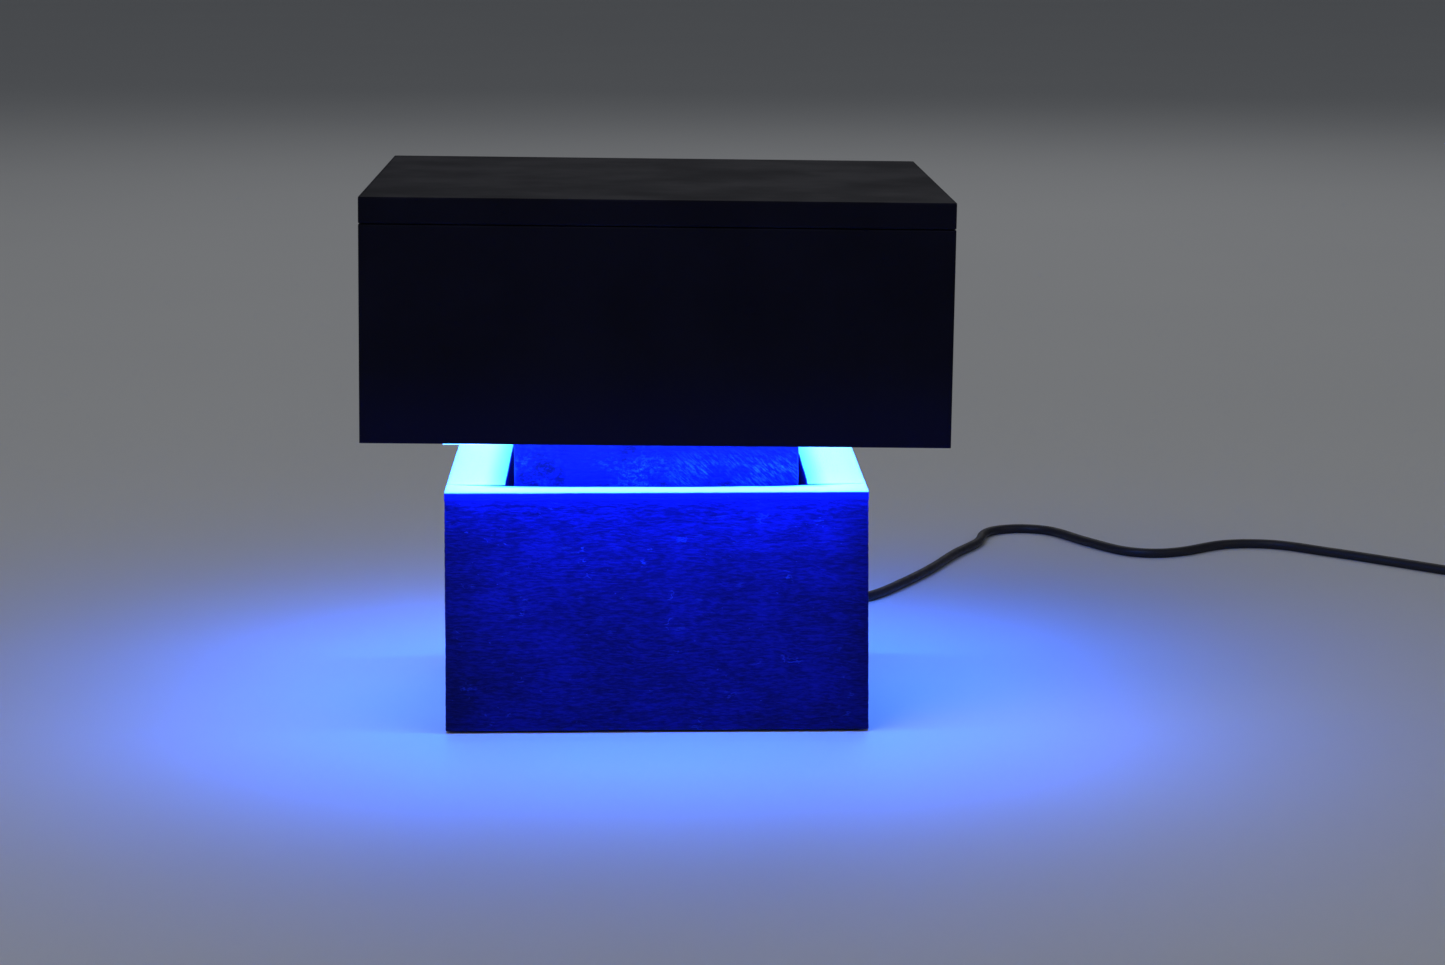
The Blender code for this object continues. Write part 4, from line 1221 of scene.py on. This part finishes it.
@dataclass
class WoodenBase(Workshop):
    """The box base: four rough boards, the floor board and its pads."""

    sawing: Sawing = Sawing(0.9 * MM, 0.34 * MM, 0.35 * MM, 0.3 * MM, 4.2 * MM, 0.01)
    dip: float = 0.85 * MM
    room: float = 0.3 * MM  # round what is let into a board
    screw_mm: Sequence[float] = (3.0, 2.2, 1.5, 16.0)

    def build(self) -> None:
        """Makes the boards, the floor, the pads and the floor's screws."""
        floor_low, floor_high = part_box("base_floor_board")
        room = Vector((self.room,) * 3)
        rebate = (floor_low - room - Vector((0, 0, 5 * MM)), floor_high + room)
        sides = {
            "front": (Axis.X, "base_x", (1.4, 1.6, 0.72)),
            "back": (Axis.X, "base_x", (1.4, 1.6, 0.8)),
            "left": (Axis.Y, "base_y", (1.6, 1.4, 0.8)),
            "right": (Axis.Y, "base_y", (1.6, 1.4, 0.8)),
        }
        for number, (side, (grain, finish, cell_mm)) in enumerate(sides.items()):
            node = f"base_{side}_board"
            mesh = self.mill.board(
                f"{node}_rough", *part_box(node), grain, cell_mm, self.finishes[finish], self.sawing,
                10.0 * number + 2.0, dip=self.dip if side == "front" else 0.0,
            )
            tools = [block(f"{side}_rebate", *rebate)]
            if side == "back":
                tools += self._plate_seat()
            if grain is Axis.Y:
                tools += [self._pocket(corner) for corner in CORNERS if side in corner]
            self.put(f"{node}_rough", cut_away(mesh, tools), "base_wood", [node])
        self.put_eased("base_floor_eased", "base_floor_board", 0.35, "inner_wood", "plain_x")
        self._pads()
        nodes = [f"floor_screw_{corner}" for corner in CORNERS]
        self.fasten("floor_screws", nodes, [(0.0, 0.0, -1.0)] * 4, self.screw_mm, 3)

    def _plate_seat(self) -> list[bpy.types.Mesh]:
        """The seat and the window that the service plate covers."""
        low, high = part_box("service_plate")
        wall_low, wall_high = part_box("base_back_board")
        room, lip = self.room, Vector((7.0 * MM, 0.0, 6.0 * MM))
        seat = block("plate_seat", low - Vector((room,) * 3), high + Vector((room, 5 * MM, room)))
        window_low, window_high = low + lip, high - lip
        window_low.y, window_high.y = wall_low.y - MM, wall_high.y + MM
        return [seat, block("plate_window", window_low, window_high)]

    @staticmethod
    def _pocket(corner: str) -> bpy.types.Mesh:
        """The pocket of one foot pad."""
        place, radius, _ = upright(f"foot_pad_{corner}")
        radius += 0.4
        tool = turned(f"pad_pocket_{corner}", [(0, -1), (radius, -1), (radius, 2.3), (0, 2.3)], 32)
        tool.transform(place)
        return tool

    def _pads(self) -> None:
        """Round pads with a soft shoulder and a ring groove."""
        for corner in CORNERS:
            node = f"foot_pad_{corner}"
            place, radius, height = upright(node)
            soft = [
                (radius - 0.5 + 0.5 * math.sin(turn), 0.5 - 0.5 * math.cos(turn))
                for turn in np.linspace(0.0, math.pi / 2, 5)
            ]
            profile = [(0.0, 0.0), (2.4, 0.0), (2.6, 0.25), (3.0, 0.25), (3.2, 0.0), *soft]
            profile += [(radius, height - 0.2), (radius - 0.2, height), (0.0, height)]
            self.put(f"{node}_soft", turned(node, profile), "pad_rubber", [node], "rubber", place)


@dataclass
class Column(Workshop):
    """The hollow column and the cleats that hold it to the floor."""

    sawing: Sawing = Sawing(0.8 * MM, 0.3 * MM, 0.25 * MM, 0.3 * MM)
    arch: tuple[float, float] = (34.0 * MM, 62.0 * MM)  # half its width, and its height
    hole: tuple[float, float] = (-29.0 * MM, 126.2 * MM)  # where the head lead comes out

    def build(self) -> None:
        """Makes the four boards and the cleats."""
        slope = math.tan(HOOD_TILT)
        for number, side in enumerate(SIDES):
            node = f"column_{side}_board"
            low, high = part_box(node)
            top = high.z - (high.x - low.x) / 2 * slope
            cell_mm = (1.4, 2.0, 1.0) if side in ("front", "back") else (2.0, 1.6, 1.2)
            mesh = self.mill.board(
                f"{node}_rough", low, Vector((high.x, high.y, top)), Axis.X, cell_mm,
                self.finishes["column_x"], self.sawing, 40.0 + 10.0 * number, -slope,
            )
            tools = []
            if side == "back":
                half, height = self.arch
                tools.append(block("wiring_arch", (-half, 0.0, 0.0), (half, 0.1, height)))
            if side == "left":
                hole = turned("lead_hole", [(0, -30), (3, -30), (3, 30), (0, 30)], 32)
                hole.transform(pointing((1, 0, 0), (low.x, *self.hole)))
                tools.append(hole)
            self.put(f"{node}_rough", cut_away(mesh, tools), "column_wood", [node])
        for node in ("column_cleat_left", "column_cleat_right"):
            self.put_eased(f"{node}_eased", node, 0.6, "inner_wood", "plain_y")


@dataclass
class Hood(Workshop):
    """The dark box hood: four walls, an overlaid top, and two cleats inside."""

    sawing: Sawing = Sawing(0.3 * MM, 0.02 * MM, 0.04 * MM)
    joint: float = 0.24 * MM  # how far the side boards reach into their joints

    def build(self) -> None:
        """Makes the boards in the hood's own level frame and tilts them."""
        low, high = joint_box(f"hood_{side}_board" for side in (*SIDES, "top"))
        centre = Vector((0.0, 0.0, (low.z + high.z) / 2))
        turn = Matrix.Translation(centre) @ Matrix.Rotation(HOOD_TILT, 4, "Y")
        level = turn.inverted()
        for number, side in enumerate((*SIDES, "top")):
            node = f"hood_{side}_board"
            corners = [level @ vert.co for vert in frame["nodes"][node].data.vertices]
            low, high = (Vector([pick(part) for part in zip(*corners)]) for pick in (min, max))
            grain = Axis.Y if side in ("left", "right") else Axis.X
            if grain is Axis.Y:
                low.y -= self.joint
                high.y += self.joint
            mesh = self.mill.board(
                f"{node}_painted", low, high, grain, (2.4, 2.4, 1.4), self.finishes["hood"],
                self.sawing, 80.0 + 10.0 * number,
            )
            self.put(f"{node}_painted", mesh, "hood_wood", [node], place=turn, body=Body.HOOD)
        for node in ("hood_cleat_front", "hood_cleat_back"):
            self.put_eased(f"{node}_eased", node, 0.8, "inner_wood", "plain_x", body=Body.HOOD)


@dataclass
class LightHead(Workshop):
    """The carrier plate, its angles, the LED boards, the diffuser and its posts."""

    chip: Point = (3.5 * MM, 2.8 * MM, 0.8 * MM)
    lens: tuple[float, float] = (1.15 * MM, 0.3 * MM)  # its radius and its height
    resistor: Point = (1.2 * MM, 2.0 * MM, 0.5 * MM)
    trim: float = 0.18 * MM  # what is planed off the diffuser's underside
    groove: float = 0.35  # how deep a post's grooves and chamfers are, in millimetres
    screw_mm: Sequence[float] = (3.0, 2.0, 1.5, 8.0)

    def build(self) -> None:
        """Makes every piece of the head."""
        self.put_eased("carrier_plate_eased", "carrier_plate", 0.3, "aluminium", "aluminium_x")
        diffuser = eased_copy("diffuser", 0.35 * MM, 3)
        middle = sum(corner.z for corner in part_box("diffuser")) / 2
        for vert in diffuser.vertices:
            if vert.co.z < middle:
                vert.co.z += self.trim
        self.put("diffuser_frosted", diffuser, "diffuser_acrylic", ["diffuser"], "diffuser")
        for node in ("head_angle_left", "head_angle_right"):
            self.put_eased(f"{node}_eased", node, 0.25, "aluminium", "aluminium_y")
        ends = ("left_front", "left_back", "right_front", "right_back")
        nodes = [f"angle_screw_{end}" for end in ends]
        axes = [(-1.0, 0.0, 0.0)] * 2 + [(1.0, 0.0, 0.0)] * 2
        self.fasten("angle_screws", nodes, axes, self.screw_mm, 5)
        self._led_boards()
        self._posts()

    def _board_tree(self) -> ShapeTree:
        """A board with a row of chips, their lenses and solder pads, and resistors between them."""
        kinds = ["Mask", "Chip", "Solder", "Lens"]
        tree = ShapeTree("led_board", {
            **{name: "Vector" for name in ("Size", "Centre", "Offset", "Turn")}, "Count": "Int",
            **{kind: "Material" for kind in kinds},
        })

        def placed(shape: Wire, place: Any, kind: str) -> Wire:
            """A shape on a place, marked with its kind."""
            moved = tree.add("GeometryNodeTransform", None, {0: shape, "Translation": place})
            return tree.store(moved, "kind", float(kinds.index(kind)))

        def box(size: Any, place: Any, kind: str) -> Wire:
            """A box of a kind on a place."""
            return placed(tree.add("GeometryNodeMeshCube", None, {"Size": size}), place, kind)

        long, wide, tall = self.chip
        radius, depth = self.lens
        pad, pad_place = (0.9 * MM, wide + 0.5 * MM, 0.15 * MM), long / 2 + 0.3 * MM
        plate = box(tree["Size"], tree["Centre"], "Mask")
        housing = box(self.chip, (0.0, 0.0, -tall / 2), "Chip")
        pads = [box(pad, (sign * pad_place, 0.0, -pad[2] / 2), "Solder") for sign in (-1, 1)]
        lens = tree.add("GeometryNodeMeshCylinder", {"fill_type": "TRIANGLE_FAN"}, {
            "Vertices": 20, "Radius": radius, "Depth": depth,
        })
        lens = placed(lens, (0.0, 0.0, -tall - 0.1 * MM), "Lens")
        resistor = box(self.resistor, (LED_PITCH / 2, 0.0, -self.resistor[2] / 2), "Chip")
        cluster = tree.add("GeometryNodeJoinGeometry", None, {0: [housing, lens, resistor, *pads]})
        face = tree["Centre"] - tree.vector(0.0, 0.0, tree.axis(tree["Size"], "Z") * 0.5)
        steps = tree.maths("SUBTRACT", tree["Count"], 1.0) * 0.5
        row = tree.add("GeometryNodeMeshLine", {"mode": "OFFSET"}, {
            "Count": tree["Count"], "Start Location": face - tree["Offset"] * steps,
            "Offset": tree["Offset"],
        })
        chips = tree.add("GeometryNodeInstanceOnPoints", None, {
            "Points": row, "Instance": cluster, "Rotation": tree["Turn"],
        })
        tree.close(tree.add("GeometryNodeJoinGeometry", None, {0: [plate, chips]}), kinds)
        return tree

    def _led_boards(self) -> None:
        """The four boards with their chips."""
        tree = self._board_tree()
        finishes = {"Mask": "mask", "Chip": "chip", "Lens": "lens", "Solder": "copper"}
        for side in SIDES:
            node = f"led_board_{side}"
            low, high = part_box(node)
            size = high - low
            sideways = side in ("left", "right")
            mesh = tree.mesh(f"{node}_chips", {
                "Size": tuple(size), "Centre": tuple((low + high) / 2),
                "Count": int((size.y if sideways else size.x) / LED_PITCH + 0.01),
                "Offset": (0.0, LED_PITCH, 0.0) if sideways else (LED_PITCH, 0.0, 0.0),
                "Turn": (0.0, 0.0, math.pi / 2 if sideways else 0.0),
                **{kind: self.finishes[key] for kind, key in finishes.items()},
            })
            self.put(f"{node}_chips", mesh, "led_board", [node])

    def _posts(self) -> None:
        """Turned posts with a groove near each end."""
        for corner in CORNERS:
            node = f"diffuser_post_{corner}"
            place, radius, height = upright(node)
            waist = radius - self.groove
            profile = [(0.0, 0.0), (waist, 0.0), (radius, self.groove)]
            for start in (1.4, height - 2.2):
                profile += [(radius, start), (waist, start + 0.2)]
                profile += [(waist, start + 0.6), (radius, start + 0.8)]
            profile += [(radius, height - self.groove), (waist, height), (0.0, height)]
            mesh = turned(node, profile, 32)
            self.put(f"{node}_turned", mesh, "aluminium", [node], "zinc", place)


@dataclass
class ServicePanel(Workshop):
    """The plate in the back with its screws, the rocker switch and the cord relief."""

    screw_mm: Sequence[float] = (2.5, 1.6, 1.2, 10.0)
    swing: float = math.radians(10.0)
    face_low: float = 2.6 * MM  # how far the middle of the rocker's hollow face stands out
    face_radius: float = 21.71 * MM
    rocker_half: tuple[float, float] = (4.7 * MM, 7.4 * MM)
    mark_height: float = 4.1 * MM
    rib_count: int = 7

    def build(self) -> bpy.types.Object:
        """Makes the panel and returns the cord relief."""
        self.put_eased("service_plate_coated", "service_plate", 0.3, "plate_metal", "coat", 3)
        places = ("low_left", "low_right", "high_left", "high_right")
        nodes = [f"plate_screw_{place}" for place in places]
        self.fasten("plate_screws", nodes, [(0.0, 1.0, 0.0)] * 4, self.screw_mm, 8)
        self.put_eased(
            "switch_housing_moulded", "switch_housing", 0.45, "black_plastic", "black", 3
        )
        joint = next(item for item in frame["joints"] if item["child"] == Body.SWITCH.value)
        pivot = Matrix.Translation(joint["pos_m"]) @ Matrix.Rotation(self.swing, 4, "X")
        self.put(
            "switch_rocker_moulded", self._rocker(), "black_plastic", ["switch_rocker"], "black",
            pivot, Body.SWITCH,
        )
        self._marks(pivot)
        return self._relief()

    def _face_at(self, height: float) -> float:
        """How far the rocker's hollow face stands out at a height above its pins."""
        return self.face_low + self.face_radius - math.sqrt(self.face_radius**2 - height**2)

    def _rocker(self) -> bpy.types.Mesh:
        """The rocker with its hollow face, level round its pins."""
        low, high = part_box("switch_rocker")
        half, tall = self.rocker_half
        outline = [(height, self._face_at(height)) for height in np.linspace(-tall, tall, 17)]
        outline += [(tall, 0.4 * MM), (3.2 * MM, -3.0 * MM)]
        outline += [(-height, depth) for height, depth in reversed(outline[-2:])]
        form = bmesh.new()
        side = form.faces.new([form.verts.new((-half, y, z)) for z, y in outline])
        grown = bmesh.ops.extrude_face_region(form, geom=[side])["geom"]
        moved = [part for part in grown if isinstance(part, bmesh.types.BMVert)]
        bmesh.ops.translate(form, vec=(2 * half, 0, 0), verts=moved)
        bmesh.ops.recalc_face_normals(form, faces=form.faces)
        body = eased(mesh_of(form, "rocker_body"), 0.35 * MM, 3)
        reach = (high.x - low.x) / 2 / MM
        end = [(0.0, -reach), (0.8, -reach), (1.0, 0.2 - reach)]
        other_end = [(radius, -height) for radius, height in reversed(end)]
        pins = turned("rocker_pins", end + other_end, 24)
        pins.transform(pointing((1, 0, 0), (0, 0, 0)))
        form = bmesh.new()
        form.from_mesh(body)
        form.from_mesh(pins)
        return mesh_of(form, "switch_rocker")

    def _marks(self, pivot: Matrix) -> None:
        """A bar on the rocker's on end and a ring on its off end, laid on its hollow face."""
        height = self.mark_height
        slope = math.asin(height / self.face_radius)
        bar = [(0.0, -0.15), (0.3, -0.15), (0.3, 0.0), (0.24, 0.06), (0.0, 0.06)]
        ring = [(1.0, -0.15), (1.5, -0.15), (1.5, 0.0), (1.45, 0.06), (1.05, 0.06), (1.0, 0.0)]
        for name, sign, profile, longer in (("on_mark", 1, bar, 1.1), ("off_mark", -1, ring, 0.0)):
            mesh = turned(name, profile, 40)
            for vert in mesh.vertices:
                vert.co.y += math.copysign(longer * MM, vert.co.y)
            middle = Matrix.Translation((0.0, self._face_at(height), sign * height))
            place = pivot @ middle @ Matrix.Rotation(-math.pi / 2 - sign * slope, 4, "X")
            self.put(f"rocker_{name}", mesh, "black_plastic", (), "mark", place, Body.SWITCH)

    def _relief(self) -> bpy.types.Object:
        """The ribbed, tapering relief that the cord leaves by."""
        low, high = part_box("cord_relief")
        length = (high.y - low.y) / MM
        start = 11.4  # where the taper begins, from the inner end
        profile = [
            (0.0, 0.0), (2.9, 0.0), (3.2, 0.3), (3.8, 1.2), (3.8, 8.3), (5.7, 8.3), (6.0, 8.6),
            (6.0, 9.8), (5.6, 10.3), (5.0, 10.7), (4.5, 11.0),
        ]
        pitch = (length - start - 1.2) / self.rib_count
        for rib in range(self.rib_count):
            along = start + rib * pitch
            radius = 4.4 - 1.4 * (along - start) / (length - start)
            profile += [
                (radius, along), (radius - 0.05, along + 0.55 * pitch),
                (radius - 0.5, along + 0.62 * pitch), (radius - 0.55, along + 0.93 * pitch),
            ]
        profile += [(3.0, length - 1.1), (2.95, length - 0.4), (2.5, length), (0.0, length)]
        node = "cord_relief"
        mesh = turned(node, profile)
        return self.put(f"{node}_ribbed", mesh, "black_plastic", [node], "black", lying(node))


@dataclass
class InnerWiring(Workshop):
    """The LED driver and the leads inside the column."""

    def build(self) -> None:
        """Makes the driver's case and gives the leads, whose shapes stay, their finish."""
        self.put_eased("led_driver_case", "led_driver", 0.3, "driver_plastic", "driver")
        for node in ("switch_lead", "driver_lead", "head_lead"):
            for place in frame["nodes"][node].material_slots:
                place.material = self.finishes["lead"]


@dataclass
class SupplyCord(Workshop):
    """The free lead on the table, its coil with a strap, and its plug."""

    radius: float = 2.1 * MM
    length: float = 1.55
    coil_centre: tuple[float, float] = (390.9 * MM, 207.0 * MM)
    coil_outer: float = 30.4 * MM
    coil_turns: float = 3.0  # in each of the two layers
    coil_start: float = math.radians(223.8)
    coil_step: float = math.radians(24.0)  # from knot to knot
    climb: float = math.radians(136.2)
    spacing: float = 2.5 * MM
    strap_angle: float = math.radians(285.0)
    route_mm: tuple[Point, ...] = (
        (20.0, 82.3, 34.0), (20.6, 92.0, 33.2), (25.0, 106.0, 28.0), (35.0, 120.5, 18.5),
        (50.0, 133.0, 9.0), (67.0, 142.5, 3.6), (80.5, 149.0, 2.3), (93.0, 160.0, 2.1),
        (106.5, 183.0, 2.1), (121.5, 213.0, 2.1), (136.0, 248.0, 2.1), (149.0, 274.0, 2.1),
        (154.1, 294.2, 2.1), (160.4, 303.2, 2.1), (170.1, 307.2, 2.1), (180.2, 305.4, 2.1),
        (187.7, 298.6, 2.1), (198.0, 277.8, 2.1), (210.4, 256.7, 2.1), (216.8, 250.6, 2.1),
        (223.9, 247.8, 2.1), (231.5, 248.1, 2.1), (240.9, 252.4, 2.1), (261.9, 267.3, 2.1),
        (283.4, 266.8, 2.1), (305.1, 249.1, 2.1), (328.0, 227.5, 2.1), (348.0, 207.5, 2.1),
        (356.6, 198.9, 2.1),
    )
    tail_mm: tuple[Point, ...] = (
        (422.3, 225.3, 5.4), (423.8, 236.0, 3.6), (426.0, 247.0, 3.0), (428.0, 255.5, 3.9),
        (428.5, 261.7, 4.7),
    )

    def build(self, relief: bpy.types.Object) -> None:
        """Args:
            relief: The piece that the cord leaves the object by. Not used.
        """
        curve = bpy.data.curves.new("supply_lead", "CURVE")
        curve.dimensions = "3D"
        curve.bevel_depth = self.radius
        curve.bevel_resolution = 4
        curve.use_fill_caps = True
        points = self._path()
        spline = curve.splines.new("POLY")
        spline.points.add(len(points) - 1)
        for slot, point in zip(spline.points, points):
            slot.co = (*point, 1.0)
        spline.use_smooth = True
        curve.materials.append(self.finishes["sheath"])
        cord = linked("supply_lead", curve)
        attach(cord, Body.BASE.value)
        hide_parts("supply_cord", "cord_coil", "cord_tail")
        LOG.info("supply_lead: %d points", len(points))
        tuple(part * MM for part in self.route_mm[0])
        2 * self.radius
        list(self._plug())
        self._strap()

    def _coil(self) -> list[Point]:
        """Knots of the coil in millimetres: inwards on the table, up, and outwards on top."""
        pitch = 2 * self.radius
        inner = self.coil_outer - self.coil_turns * pitch
        layer = self.coil_turns * math.tau
        total = 2 * layer + self.climb
        knots = []
        for turn in np.linspace(0.0, total, round(total / self.coil_step) + 1):
            if turn < layer:
                reach, rise = self.coil_outer - pitch * turn / math.tau, 0.0
            elif turn < layer + self.climb:
                share = (turn - layer) / self.climb
                reach, rise = inner, share * share * (3.0 - 2.0 * share)
            else:
                reach, rise = inner + pitch * (turn - layer - self.climb) / math.tau, 1.0
            angle = self.coil_start + turn
            knots.append((
                (self.coil_centre[0] + reach * math.cos(angle)) / MM,
                (self.coil_centre[1] + reach * math.sin(angle)) / MM,
                (self.radius + rise * pitch) / MM,
            ))
        return knots

    def _path(self) -> np.ndarray:
        """Evenly spaced points, in metres, on one smooth curve from the relief to the plug."""
        points = np.array([*self.route_mm, *self._coil(), *self.tail_mm], float) * MM
        chord = np.linalg.norm(np.diff(points, axis=0), axis=1)
        at = np.concatenate([[0.0], np.cumsum(chord)])
        slopes = np.empty_like(points)
        for i in range(len(points)):
            before, after = max(i - 1, 0), min(i + 1, len(points) - 1)
            slopes[i] = (points[after] - points[before]) / (at[after] - at[before])
        fine = []
        for i, length in enumerate(chord):
            for t in np.linspace(0.0, 1.0, 16, endpoint=False):
                near, far = 2 * t**3 - 3 * t**2 + 1, 3 * t**2 - 2 * t**3
                leave, arrive = (t**3 - 2 * t**2 + t) * length, (t**3 - t**2) * length
                fine.append(
                    near * points[i] + leave * slopes[i]
                    + far * points[i + 1] + arrive * slopes[i + 1]
                )
        fine = np.array([*fine, points[-1]])
        run = np.concatenate([[0.0], np.cumsum(np.linalg.norm(np.diff(fine, axis=0), axis=1))])
        places = np.linspace(0.0, run[-1], round(run[-1] / self.spacing) + 1)
        return np.stack([np.interp(places, run, fine[:, k]) for k in range(3)], axis=1)

    def _plug(self) -> list[bpy.types.Object]:
        """The moulded plug with its grip and its metal barrel."""
        grip = [(0.0, 0.0), (2.5, 0.0), (2.9, 0.4), (3.3, 8.6), (3.7, 10.2), (4.5, 11.6)]
        grip.append((4.7, 12.2))
        for start in (13.0 + 2.2 * rib for rib in range(5)):
            grip += [(4.7, start), (4.3, start + 0.35), (4.3, start + 1.05), (4.7, start + 1.4)]
        grip += [(4.7, 27.8), (4.5, 28.9), (4.0, 29.5), (0.0, 29.5)]
        barrel = [
            (0.0, 29.2), (2.75, 29.2), (2.75, 38.3), (2.5, 38.6), (2.35, 38.6), (2.35, 36.6),
            (0.0, 36.6),
        ]
        sleeve = [(1.3, 36.0), (2.3, 36.0), (2.3, 38.8), (2.1, 39.0), (1.4, 39.0), (1.25, 38.8)]
        pieces = {
            "plug_grip": (grip, "black_plastic", ["cord_plug"], "black"),
            "plug_barrel": (barrel, "screw_steel", (), "nickel"),
            "plug_sleeve": (sleeve, "black_plastic", (), "black"),
        }
        place = lying("cord_plug")
        return [
            self.put(name, turned(name, profile), slot, nodes, finish, place)
            for name, (profile, slot, nodes, finish) in pieces.items()
        ]

    def _strap(self) -> bpy.types.Object:
        """A narrow strap wound once round the coil's turns."""
        inner = self.coil_outer - self.coil_turns * 2 * self.radius - self.radius - 0.3 * MM
        outer = self.coil_outer + self.radius + 0.3 * MM
        top, thick, half_width, corner = 4 * self.radius + 0.3 * MM, 0.8 * MM, 4.0 * MM, 2.0 * MM
        section = []
        bends = [
            (outer - corner, corner, -90.0), (outer - corner, top - corner, 0.0),
            (inner + corner, top - corner, 90.0), (inner + corner, corner, 180.0),
        ]
        for x, z, turn in bends:
            for angle in np.radians(np.linspace(turn, turn + 90.0, 7)):
                section.append((x, z, math.cos(angle), math.sin(angle)))
        form = bmesh.new()
        rings = []
        for grow, side in ((0.0, -1), (thick, -1), (thick, 1), (0.0, 1)):
            ring = []
            for x, z, across, up in section:
                reach = corner + grow
                ring.append(form.verts.new((
                    x + across * reach, side * half_width, max(0.05 * MM, z + up * reach),
                )))
            rings.append(ring)
        for first, second in zip(rings, rings[1:] + rings[:1]):
            for i in range(len(section)):
                j = (i + 1) % len(section)
                form.faces.new((first[i], first[j], second[j], second[i]))
        bmesh.ops.recalc_face_normals(form, faces=form.faces)
        mesh = mesh_of(form, "coil_strap", 50.0)
        place = Matrix.Translation((*self.coil_centre, 0.0))
        place = place @ Matrix.Rotation(self.strap_angle, 4, "Z")
        return self.put("coil_strap", mesh, "cord_sheath", (), "strap", place)


@dataclass
class Studio:
    """A plain pale floor, soft lights, the station's own blue light, and the camera."""

    camera_place: Point = (-0.0081, -1.20875, 0.29528)
    pitch: float = math.radians(10.124)
    yaw: float = math.radians(-1.559)
    roll: float = math.radians(-0.069)
    lens: float = 82.46
    sensor: float = 36.0
    floor_half: float = 30.0
    floor_colours: tuple[Colour, Colour] = ((0.72, 0.73, 0.75), (0.76, 0.77, 0.78))
    sky: Colour = (0.8, 0.84, 0.9)
    sky_strength: float = 0.1
    spill_above: float = 4.0 * MM  # how far the spill lights are above the diffuser
    spill_power: float = 0.3

    def build(self) -> None:
        """Makes the stage."""
        bpy.context.scene.view_settings.view_transform = "Standard"
        self._camera()
        self._floor()
        self._sky()
        self._soft_light("key", (-1.3, -1.6, 2.1), 1.6, 13.0)
        self._soft_light("fill", (1.8, -1.2, 1.4), 1.8, 4.0)
        self._soft_light("back", (0.3, 2.2, 1.9), 1.6, 6.0)
        self._spill()

    def _camera(self) -> None:
        """The camera, turned by its own yaw, pitch and roll."""
        data = bpy.data.cameras.new("camera")
        data.lens = self.lens
        data.sensor_width = self.sensor
        data.clip_end = 200.0
        camera = linked("camera", data)
        turn = (
            Matrix.Rotation(self.yaw, 4, "Z") @ Matrix.Rotation(-self.pitch, 4, "X")
            @ Matrix.Rotation(self.roll, 4, "Y") @ Matrix.Rotation(math.pi / 2, 4, "X")
        )
        camera.matrix_world = Matrix.Translation(self.camera_place) @ turn
        bpy.context.scene.camera = camera

    def _floor(self) -> None:
        """A wide pale floor."""
        form = bmesh.new()
        bmesh.ops.create_grid(form, x_segments=2, y_segments=2, size=self.floor_half)
        mesh = bpy.data.meshes.new("floor")
        form.to_mesh(mesh)
        form.free()
        paint = Paint("floor_pale", Specular_IOR_Level=0.2, Roughness=0.85)
        cloud = paint.cloud(3.0, 3.0, 1.0)
        mesh.materials.append(paint.done(Base_Color=paint.mix(cloud, *self.floor_colours)))
        linked("floor", mesh)

    def _sky(self) -> None:
        """An even, dim surround."""
        world = bpy.data.worlds.new("surround")
        world.use_nodes = True
        surround = world.node_tree.nodes["Background"]
        surround.inputs["Color"].default_value = (*self.sky, 1.0)
        surround.inputs["Strength"].default_value = self.sky_strength
        bpy.context.scene.world = world

    @staticmethod
    def _light(
        name: str, width: float, depth: float, power: float, colour: Colour
    ) -> bpy.types.Object:
        """A rectangular light that shines along its own -Z."""
        data = bpy.data.lights.new(name, "AREA")
        data.shape = "RECTANGLE"
        data.size, data.size_y = width, depth
        data.energy = power
        data.color = colour
        light = linked(name, data)
        light.visible_camera = False
        return light

    def _soft_light(self, name: str, place: Point, size: float, power: float) -> None:
        """A large soft light that looks at the object."""
        light = self._light(name, size, size, power, WHITE)
        light.location = place
        aim = Vector((0.0, 0.0, 0.1)) - Vector(place)
        light.rotation_euler = aim.to_track_quat("-Z", "Y").to_euler()

    def _spill(self) -> None:
        """Blue light that comes down between the light head and the hood's walls."""
        head_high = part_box("diffuser")[1]
        inner_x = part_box("hood_right_board")[0].x
        inner_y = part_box("hood_back_board")[0].y
        height = head_high.z + self.spill_above
        width_x, width_y = inner_x - head_high.x, inner_y - head_high.y
        for sign in (-1, 1):
            x, y = sign * (head_high.x + width_x / 2), sign * (head_high.y + width_y / 2)
            strips = {
                "across": ((0.0, y, height), 2 * head_high.x, width_y * 0.8),
                "along": ((x, 0.0, height), width_x * 0.8, 2 * inner_y),
            }
            for name, (place, width, depth) in strips.items():
                light = self._light(f"spill_{name}_{sign}", width, depth, self.spill_power, SPILL)
                light.location = place
                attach(light, Body.BASE.value)


def main() -> None:
    """Builds every sub-assembly in order."""
    logging.basicConfig(level=logging.INFO, format="%(name)s: %(message)s")
    Studio().build()
    shared = Finishes(), BoardMill(), ScrewPress()
    for kind in (WoodenBase, Column, Hood, LightHead):
        kind(*shared).build()
    relief = ServicePanel(*shared).build()
    InnerWiring(*shared).build()
    SupplyCord(*shared).build(relief)


if __name__ == "__main__":
    main()
